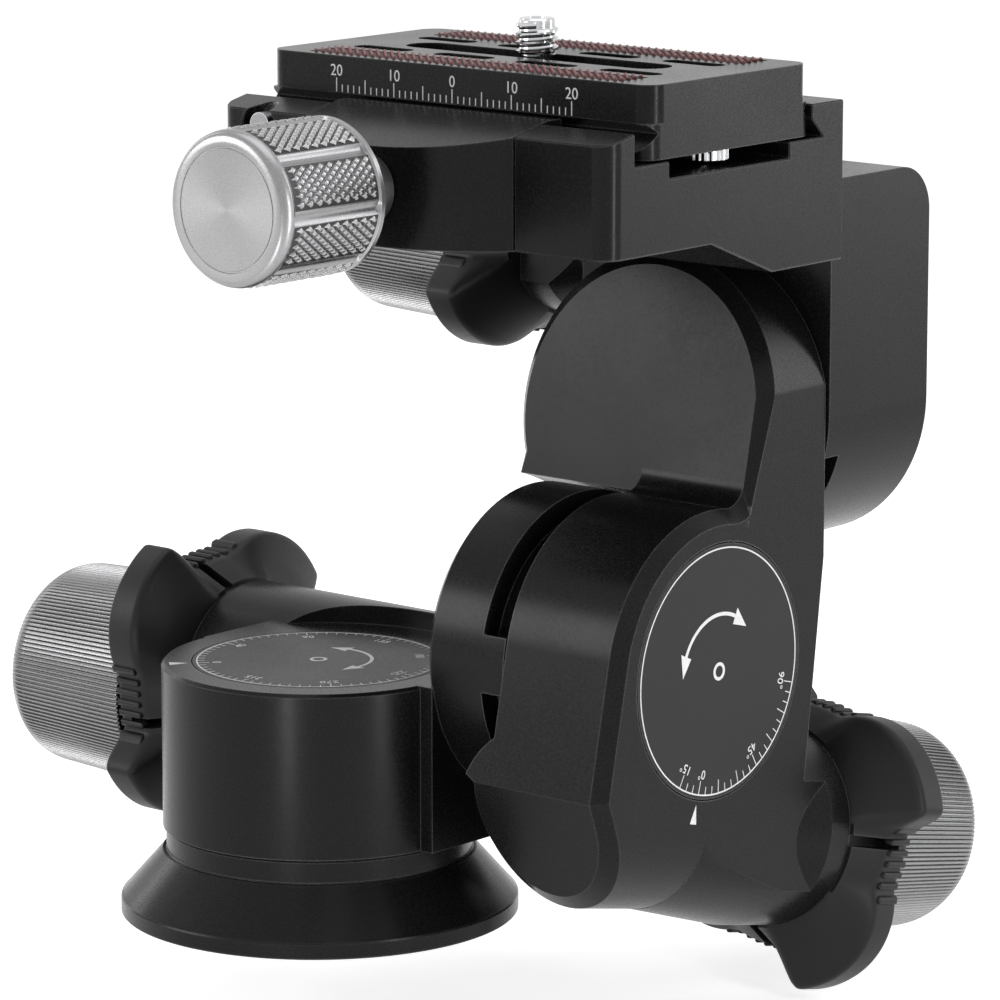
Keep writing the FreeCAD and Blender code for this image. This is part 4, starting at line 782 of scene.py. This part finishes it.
def clamp_knob():
    """Drum knob: turned face, smooth rims and grooves, and eight knurled pads of small diamonds."""
    origin, direction = axis_of("jaw_knob_turn")
    _, high, _ = span("clamp_knob", origin, direction)
    rear = high - DRUM_LENGTH
    matrix = basis(origin, (0, 0, 1), direction)
    columns = 288
    pitch = 360 / KNOB_PADS

    def drum_radius(angle, share):
        """Radius of the drum under the pads, with its shallow grooves."""
        local = (angle - FIRST_PAD_ANGLE) % pitch
        if local > PAD_GROOVE_SPAN:
            return PAD_FLOOR_RADIUS
        return PAD_FLOOR_RADIUS + 0.16 * share - 0.50 * share * math.sin(math.pi * local / PAD_GROOVE_SPAN)

    rows = [(2.6, rear, 0), (10.2, rear, 0), (10.62, rear + 0.12, 0), (10.9, rear + 0.4, 0),
            (10.9, rear + 1.1, 0), (None, rear + 1.35, 1), (None, high - 2.1, 1),
            (10.75, high - 1.9, 0), (10.8, high - 1.5, 0), (10.66, high - 0.85, 0), (10.3, high - 0.3, 0),
            (9.75, high, 0), (8.62, high - 0.02, 0), (8.55, high - 0.14, 0), (8.42, high - 0.14, 0),
            (8.35, high - 0.02, 0), (0.6, high, 0)]
    sections = []
    for radius, height, share in rows:
        sections.append([polar(drum_radius(360 * c / columns, share) if radius is None else radius,
                               360 * c / columns, height) for c in range(columns)])
    vertices, faces = skin(sections)
    drum = piece("clamp_knob_drum", moved(vertices, matrix), faces, SILVER, "jaw_knob", "natural_anodised",
                 ("clamp_knob",), 40)
    face_material = turned_finish("aluminium_turned_face", "Y", tuple(origin * MM), (0.34, 0.34, 0.345),
                                  0.28, 9000.0, 0.05)
    drum.data.materials.append(face_material)
    # The third material is painted shade on the floor between the knurled diamonds.
    drum.data.materials.append(KNURL_VALLEY_SHADE)
    for polygon in drum.data.polygons:
        centre = polygon.center / MM - origin
        along = centre.dot(direction)
        if along > high - 0.1 and (centre - direction * along).length < FACE_RADIUS:
            polygon.material_index = 1
        local = matrix.inverted() @ (polygon.center / MM)
        turn = (math.degrees(math.atan2(local.y, local.x)) - FIRST_PAD_ANGLE) % pitch
        # The pad floor between the diamonds gets the painted shade.
        if rear + 1.4 < local.z < high - 2.2 and turn > PAD_GROOVE_SPAN:
            polygon.material_index = 2
    diamonds = []
    pad_low, pad_high = rear + 1.40, high - 2.1
    row_count = int((pad_high - pad_low) / (DIAMOND_ROW_PITCH / 2)) - 1
    across_count = int((pitch - PAD_GROOVE_SPAN) / DIAMOND_ANGLE)
    for pad in range(KNOB_PADS):
        start = FIRST_PAD_ANGLE + pad * pitch + PAD_GROOVE_SPAN + 0.2
        for row in range(row_count):
            shift = 0.5 * (row % 2)
            height = pad_low + DIAMOND_ROW_PITCH / 2 * (row + 1)
            for column in range(across_count):
                middle = start + (column + 0.75 + shift) * DIAMOND_ANGLE - 0.1
                if middle + DIAMOND_ANGLE / 2 > start + pitch - PAD_GROOVE_SPAN + 0.6:
                    continue
                diamonds.append(knurl(middle, height, DIAMOND_ROW_PITCH / 2, DIAMOND_ANGLE / 2))
    pads_vertices, pads_faces = joined(diamonds)
    return piece("clamp_knob_knurling", moved(pads_vertices, matrix), pads_faces, KNURLED, "jaw_knob",
                 "natural_anodised", (), 25)


def knurl(angle, height, half_height, half_angle):
    """One raised diamond: four sloping flanks and a small crowned top."""
    sections = []
    for radius, share in ((10.35, 0.94), (10.6, 0.94), (10.97, 0.54), (11.0, 0.40)):
        sections.append([polar(radius, angle + half_angle * share, height),
                         polar(radius, angle, height + half_height * share),
                         polar(radius, angle - half_angle * share, height),
                         polar(radius, angle, height - half_height * share)])
    return skin(sections)


# ================================================================ printed marks
PAN_POINTER_ANGLE = -132
TILT_POINTER_ANGLE = -15


def printed(name, shape, body):
    """A printed piece from its (vertices, faces)."""
    return piece(name, *shape, INK, body, "black_anodised", (), 30)


def prism(points, matrix, thickness=0.03):
    """Thin printed shape: a flat outline in a local frame, with a slight thickness."""
    low = [Vector((x, y, -0.02)) for x, y in points]
    high = [Vector((x, y, thickness)) for x, y in points]
    vertices, faces = skin([low, high])
    return moved(vertices, matrix), faces


def bar(start, end, width):
    """Outline of a straight printed line."""
    start, end = Vector(start), Vector(end)
    side = (end - start).normalized().orthogonal() * width / 2
    return [tuple(start + side), tuple(end + side), tuple(end - side), tuple(start - side)]


def arc_band(radius, width, start, end, matrix, thickness=0.03):
    """Printed ring or part of one, from short prisms."""
    steps = max(2, int(abs(end - start) / 3))
    full = abs(end - start) >= 360
    sections = []
    for step in range(steps + (0 if full else 1)):
        angle = start + (end - start) * step / steps
        sections.append([matrix @ polar(radius + side * width / 2, angle, height)
                         for side, height in ((-1, -0.02), (1, -0.02), (1, thickness), (-1, thickness))])
    return ring_skin(sections) if full else skin(sections)


def lettering(text, size, matrix):
    """Printed numbers as a thin mesh, centred in a local frame."""
    curve = bpy.data.curves.new("numbers", "FONT")
    curve.body = text
    curve.size = size
    curve.align_x = "CENTER"
    curve.align_y = "CENTER"
    curve.extrude = 0.025
    curve.resolution_u = 3
    thing = bpy.data.objects.new("numbers", curve)
    bpy.context.scene.collection.objects.link(thing)
    depsgraph = bpy.context.evaluated_depsgraph_get()
    mesh = bpy.data.meshes.new_from_object(thing.evaluated_get(depsgraph))
    vertices = [matrix @ Vector((v.co.x, v.co.y, v.co.z + 0.005)) for v in mesh.vertices]
    faces = [tuple(p.vertices) for p in mesh.polygons]
    bpy.data.objects.remove(thing)
    return vertices, faces


def dial_print(name, matrix, ticks, labels, body):
    """Ring, ticks and numbers of one dial, in the dial's frame with 0 degrees along its X."""
    parts = [arc_band(18.25, 0.22, 0, 360, matrix)]
    for angle, length in ticks:
        parts.append(prism(bar((18.1 - length, 0), (18.15, 0), 0.13), turned(matrix, angle)))
    for angle, text in labels:
        place = turned(turned(matrix, angle) @ Matrix.Translation((15.2, 0, 0)), -90)
        parts.append(lettering(text, 1.95, place))
    return printed(name, joined(parts), body)


def turn_arrow(matrix, radius, half_span):
    """Generic two-headed arc that shows which way the axis turns."""
    parts = [arc_band(radius, 0.55, -half_span, half_span, matrix)]
    for side in (-1, 1):
        base = side * half_span
        tip = polar(radius, base + side * 22)
        parts.append(prism([tuple(polar(radius - 1.25, base)[:2]), tuple(polar(radius + 1.25, base)[:2]),
                            tuple(tip[:2])][::side], matrix))
    parts.append(arc_band(1.1, 0.5, 0, 360, matrix))
    return joined(parts)


def dial_marks():
    """Printing on the three dials, and the pointers beside them."""
    pan = basis((0, 0, PAN_TOP), (1, 0, 0), (0, 0, 1))
    ticks = [(angle + PAN_POINTER_ANGLE, 1.7 if angle % 45 == 0 else 1.0) for angle in range(0, 360, 5)]
    labels = [(PAN_POINTER_ANGLE - angle, str(angle)) for angle in range(0, 360, 45)]
    dial_print("pan_dial_print", pan, ticks, labels, body_of("pan_dial"))
    printed("pan_dial_arrow", turn_arrow(turned(pan, 48), 8.0, 48), body_of("pan_dial"))

    tilt = basis((TILT_FACE_X, TILT_AXIS.y, TILT_AXIS.z), (0, 0, -1), (1, 0, 0))
    ticks = [(angle + TILT_POINTER_ANGLE, 1.9 if angle % 15 == 0 else 1.1) for angle in range(-15, 91, 5)]
    labels = [(-30.5, "15°"), (-15, "0°"), (30, "45°"), (75, "90°")]
    dial_print("tilt_dial_print", tilt, ticks, labels, body_of("tilt_dial"))
    printed("tilt_dial_arrow", turn_arrow(turned(tilt, 200), 8.5, 46), body_of("tilt_dial"))

    roll = basis((ROLL_AXIS.x, ROLL_BACK_Y, ROLL_AXIS.z), (0, 0, 1), (0, 1, 0))
    ticks = [(angle, 1.9 if angle % 15 == 0 else 1.1) for angle in range(-30, 31, 5)]
    labels = [(-30, "30"), (0, "0"), (30, "30")]
    dial_print("roll_dial_print", roll, ticks, labels, body_of("roll_dial"))

    for name, outline, place in (
            ("tilt", [(19.75, -0.1), (22.6, -0.85), (22.6, 0.65)], turned(tilt, TILT_POINTER_ANGLE)),
            ("pan", [(19.7, 0), (22.4, -0.9), (22.4, 0.9)], turned(pan, PAN_POINTER_ANGLE)),
            ("roll", [(19.7, 0), (22.2, -0.8), (22.2, 0.8)], roll)):
        printed(f"{name}_pointer", prism(outline, place), body_of(f"{name}_housing"))


def plate_scale():
    """Centring scale on the plate's front face."""
    matrix = basis((36.9, PLATE_FRONT_Y, 0), (1, 0, 0), (0, -1, 0))
    unit, foot = 1.09, 126.0
    parts = []
    for mark in range(-20, 21):
        length = 2.0 if mark % 5 == 0 else 1.05
        parts.append(prism(bar((mark * unit, foot), (mark * unit, foot + length), 0.17), matrix))
    for mark in range(-20, 21, 10):
        parts.append(lettering(str(abs(mark)), 2.35, matrix @ Matrix.Translation((mark * unit, foot + 3.0, 0))))
    return printed("plate_scale", joined(parts), "plate")


# ================================================================ plate pieces
def round_slot(x, y, length, width, low, high, steps=10):
    """Solid for a round-ended slot along X."""
    half = (length - width) / 2
    outline = []
    for end, first in ((1, -90), (-1, 90)):
        for step in range(steps + 1):
            point = polar(width / 2, first + 180 * step / steps)
            outline.append((x + end * half + point.x, y + point.y))
    return skin([[Vector((px, py, z)) for px, py in outline] for z in (low, high)])


def plate_dressed():
    """Plate with its rows of short slots and broken edges."""
    slots = [round_slot(PLATE_MIDDLE.x, PLATE_MIDDLE.y, 47.6, 6.8, 110, 140)]
    for row in (-7.1, 7.1):
        for column in (-1.5, -0.5, 0.5, 1.5):
            slots.append(round_slot(PLATE_MIDDLE.x + column * 15.3, PLATE_MIDDLE.y + row, 10.6, 3.2, 110, 140))
    return dressed("plate", 0.4, BLACK, [("DIFFERENCE", joined(slots))])


def ribbed_strips():
    """Two grip strips with slanting ridges."""
    low, high = (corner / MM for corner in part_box("rubber_strips"))
    width = 5.9
    parts = []
    base_z, top_z = PLATE_TOP - 0.55, PLATE_TOP + 0.38
    for y_low in (low.y, high.y - width):
        y_high = y_low + width
        corners = [Vector((x, y, z)) for z in (base_z, PLATE_TOP - 0.1)
                   for x, y in ((low.x, y_low), (high.x, y_low), (high.x, y_high), (low.x, y_high))]
        parts.append(skin([corners[:4], corners[4:]]))
        pitch, lean = 1.35, -5.6
        x = low.x
        while x < high.x - lean:
            ridge = slanted_ridge(x, pitch, lean, y_low, y_high, top_z, low.x, high.x)
            if ridge:
                parts.append(ridge)
            x += pitch
    return piece("grip_strips_ribbed", *joined(parts), RUBBER, "plate", "maroon_rubber", ("rubber_strips",), 50)


def slanted_ridge(x, pitch, lean, y_low, y_high, top_z, x_low, x_high):
    """One slanting ridge with a rounded crest, clipped to the strip's ends."""
    crest = [(-0.34, -0.45), (-0.30, 0.05), (-0.12, 0.42), (0.08, 0.46), (0.24, 0.22), (0.34, -0.45)]
    sections = []
    for share in [step / 12 for step in range(13)]:
        y = y_low + (y_high - y_low) * share
        shift = x + lean * share
        if shift < x_low or shift > x_high:
            continue
        sections.append([Vector((min(max(shift + across * pitch, x_low), x_high), y, top_z - 0.46 + lift))
                         for across, lift in crest])
    if len(sections) < 2:
        return None
    return skin(sections)


def knurled_turning(profile, columns, rim_radius, depth, tooth_columns):
    """Turned solid from (radius, height) points, with teeth in its rim beyond a radius."""
    sections = []
    for radius, height in profile:
        groove = depth if radius > rim_radius else 0.0
        sections.append([polar(radius - groove * (column // tooth_columns % 2), 360 * column / columns, height)
                         for column in range(columns)])
    return skin(sections)


def camera_screw():
    """Chrome camera screw: knurled head under the slot, neck, and a helical thread with a bevelled end."""
    low, high = (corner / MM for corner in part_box("camera_screw"))
    centre = Vector(((low.x + high.x) / 2, (low.y + high.y) / 2, 0))
    matrix = Matrix.Translation(centre)
    steps, pitch = 48, 1.27
    start, end = PLATE_TOP + 0.45, high.z - 0.15
    profile = [(0.0, 2.55), (0.18, 2.62), (0.40, 3.06), (0.60, 3.06), (0.82, 2.62)]
    turns = (end - start) / pitch
    rows = []
    total = int(turns * steps)
    for step in range(total + 1):
        angle = 360 * step / steps
        height = start + pitch * step / steps - pitch
        row = []
        for along, radius in profile + [(1.0, 2.55)]:
            z = min(max(height + along * pitch, start - 0.2), end)
            fade = min(1.0, max(0.0, (end - z) / 0.5)) * min(1.0, max(0.0, (z - start + 0.3) / 0.4))
            row.append(polar(2.5 + (radius - 2.5) * fade, angle, z))
        rows.append(row)
    vertices = [point for row in rows for point in row]
    width = len(rows[0])
    faces = [(i * width + j, (i + 1) * width + j, (i + 1) * width + j + 1, i * width + j + 1)
             for i in range(total) for j in range(width - 1)]
    thread = (moved(vertices, matrix), faces)
    core = [(0.3, low.z), (6.6, low.z), (6.95, low.z + 0.35), (6.95, low.z + 2.6), (6.6, low.z + 2.95),
            (2.55, low.z + 2.95), (2.55, end - 0.1), (2.35, end + 0.1), (1.9, high.z), (1.25, high.z),
            (1.1, high.z - 0.5), (0.2, high.z - 0.5)]
    vertices, faces = knurled_turning(core, 144, 6.9, 0.22, 1)
    return piece("camera_screw_threaded", *joined([(moved(vertices, matrix), faces), thread]), CHROME,
                 "camera_screw", "chrome", ("camera_screw",), 28)


def stop_screws():
    """Knurled heads of the two stop screws under the plate."""
    parts = []
    low, high = (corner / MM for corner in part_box("plate_stop_screws"))
    for x in (low.x + 3.0, high.x - 3.0):
        matrix = Matrix.Translation((x, PLATE_MIDDLE.y, 0))
        profile = [(0.9, low.z + 0.5), (1.0, low.z), (2.6, low.z), (2.95, low.z + 0.25), (2.95, low.z + 1.7),
                   (2.7, low.z + 1.95), (1.45, low.z + 1.95), (1.45, high.z)]
        vertices, faces = knurled_turning(profile, 72, 2.9, 0.2, 2)
        parts.append((moved(vertices, matrix), faces))
    return piece("stop_screws_knurled", *joined(parts), CHROME, "plate", "steel", ("plate_stop_screws",), 28)


# ================================================================ build everything
def paint(material, *names):
    """Give CAD nodes that stay as they are their finish."""
    for name in names:
        data = NODES[name].data
        for index in range(len(data.materials)):
            data.materials[index] = material


def build():
    """All pieces, from the drives to the printed marks."""
    for axis in ("pan", "tilt", "roll"):
        ribbed_knob(axis)
        release_collar(axis)
        paint(STEEL, f"{axis}_sleeve", f"{axis}_worm_shaft")
        paint(BRONZE, f"{axis}_worm_wheel")
        paint(BLACK_DIAL, f"{axis}_dial")
    paint(STEEL, "foot_insert", "lock_pin")
    paint(SILVER, "clamp_bush")
    paint(BLACK, "roll_stop_key")
    dressed("base_flange", 0.15, BLACK)
    dressed("pan_housing", 0.18, BLACK)
    tilt_housing()
    dressed("roll_housing", 0.2, BLACK)
    dressed("clamp_body", 0.45, BLACK)
    dressed("clamp_jaw", 0.4, BLACK, jaw_pin_plugs())
    shortened_pins()
    plate_dressed()
    clamp_knob()
    ribbed_strips()
    camera_screw()
    stop_screws()
    dial_marks()
    plate_scale()


# ================================================================ stage
FLOOR_GAP, FLOOR_HALF = 0.001, 6.0
STAGE_MIDDLE = (0.02, 0.02, 0.06)
LIGHTS = (   # name, place, target, width, height, power
    ("top_softbox", (0.05, 0.10, 0.95), STAGE_MIDDLE, 0.8, 0.8, 2.8),
    ("left_front_softbox", (-0.58, -0.66, 0.36), STAGE_MIDDLE, 0.46, 0.34, 3.0),
    ("right_back_strip", (0.62, 0.78, 0.36), (0.0, 0.0, 0.12), 0.20, 0.9, 2.6),
    ("left_back_strip", (-0.85, 0.10, 0.30), STAGE_MIDDLE, 0.12, 0.9, 0.9),
    ("front_strip", (0.079, -0.205, 0.012), (0.0, 0.0, 0.012), 0.022, 0.05, 0.07),
    ("right_strip", (0.26, -0.02, 0.085), (0.0, 0.0, 0.085), 0.022, 0.2, 0.22))


def area_light(name, place, target, width, height, power):
    """Rectangular soft light aimed at a point."""
    data = bpy.data.lights.new(name, "AREA")
    data.shape = "RECTANGLE"
    data.size = width
    data.size_y = height
    data.energy = power
    light = bpy.data.objects.new(name, data)
    light.visible_camera = False
    bpy.context.scene.collection.objects.link(light)
    light.location = place
    light.rotation_mode = "QUATERNION"
    light.rotation_quaternion = (Vector(target) - Vector(place)).to_track_quat("-Z", "Y")
    return light


def backdrop_share(add):
    """1 for rays that should see the pale background: camera, glossy and transmission rays."""
    path = add("ShaderNodeLightPath").outputs
    first = add("ShaderNodeMath", {0: path["Is Camera Ray"], 1: path["Is Glossy Ray"]}, operation="MAXIMUM")
    second = add("ShaderNodeMath", {0: first.outputs[0], 1: path["Is Transmission Ray"]}, operation="MAXIMUM")
    return second.outputs[0]


def stage():
    """Pale background and floor, soft lights and the camera."""
    scene = bpy.context.scene
    scene.view_settings.view_transform = "Standard"
    world = bpy.data.worlds.new("studio")
    scene.world = world
    world.use_nodes = True
    tree = world.node_tree
    background = tree.nodes["Background"]
    background.inputs["Color"].default_value = (1, 1, 1, 1)
    add = node_adder(tree)
    tree.links.new(mapped(add, backdrop_share(add), 0.30, 1.0), background.inputs["Strength"])

    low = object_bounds()[0].z - FLOOR_GAP
    mesh = bpy.data.meshes.new("floor")
    mesh.from_pydata([(x * FLOOR_HALF, y * FLOOR_HALF, low) for x, y in ((-1, -1), (1, -1), (1, 1), (-1, 1))], [],
                     [(0, 1, 2, 3)])
    floor = bpy.data.objects.new("floor", mesh)
    scene.collection.objects.link(floor)
    material, shader, add_floor, link = new_material("pale_floor")
    shader.inputs["Base Color"].default_value = (0.9, 0.9, 0.9, 1)
    shader.inputs["Roughness"].default_value = 0.9
    shader.inputs["Specular IOR Level"].default_value = 0.0
    shader.inputs["Emission Color"].default_value = (1, 1, 1, 1)
    link(mapped(add_floor, backdrop_share(add_floor), 0.0, 0.72), "Emission Strength")
    mesh.materials.append(material)
    floor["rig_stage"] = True

    for light in LIGHTS:
        area_light(*light)

    camera_data = bpy.data.cameras.new("camera")
    camera_data.lens = CAMERA_LENS
    camera_data.sensor_width = SENSOR_WIDTH
    camera_data.sensor_fit = "HORIZONTAL"
    camera_data.clip_start = 0.01
    camera_data.clip_end = 50.0
    camera = bpy.data.objects.new("camera", camera_data)
    camera.location = CAMERA_PLACE
    camera.rotation_euler = (math.radians(CAMERA_PITCH), 0, math.radians(CAMERA_TURN))
    scene.collection.objects.link(camera)
    scene.camera = camera


build()
stage()
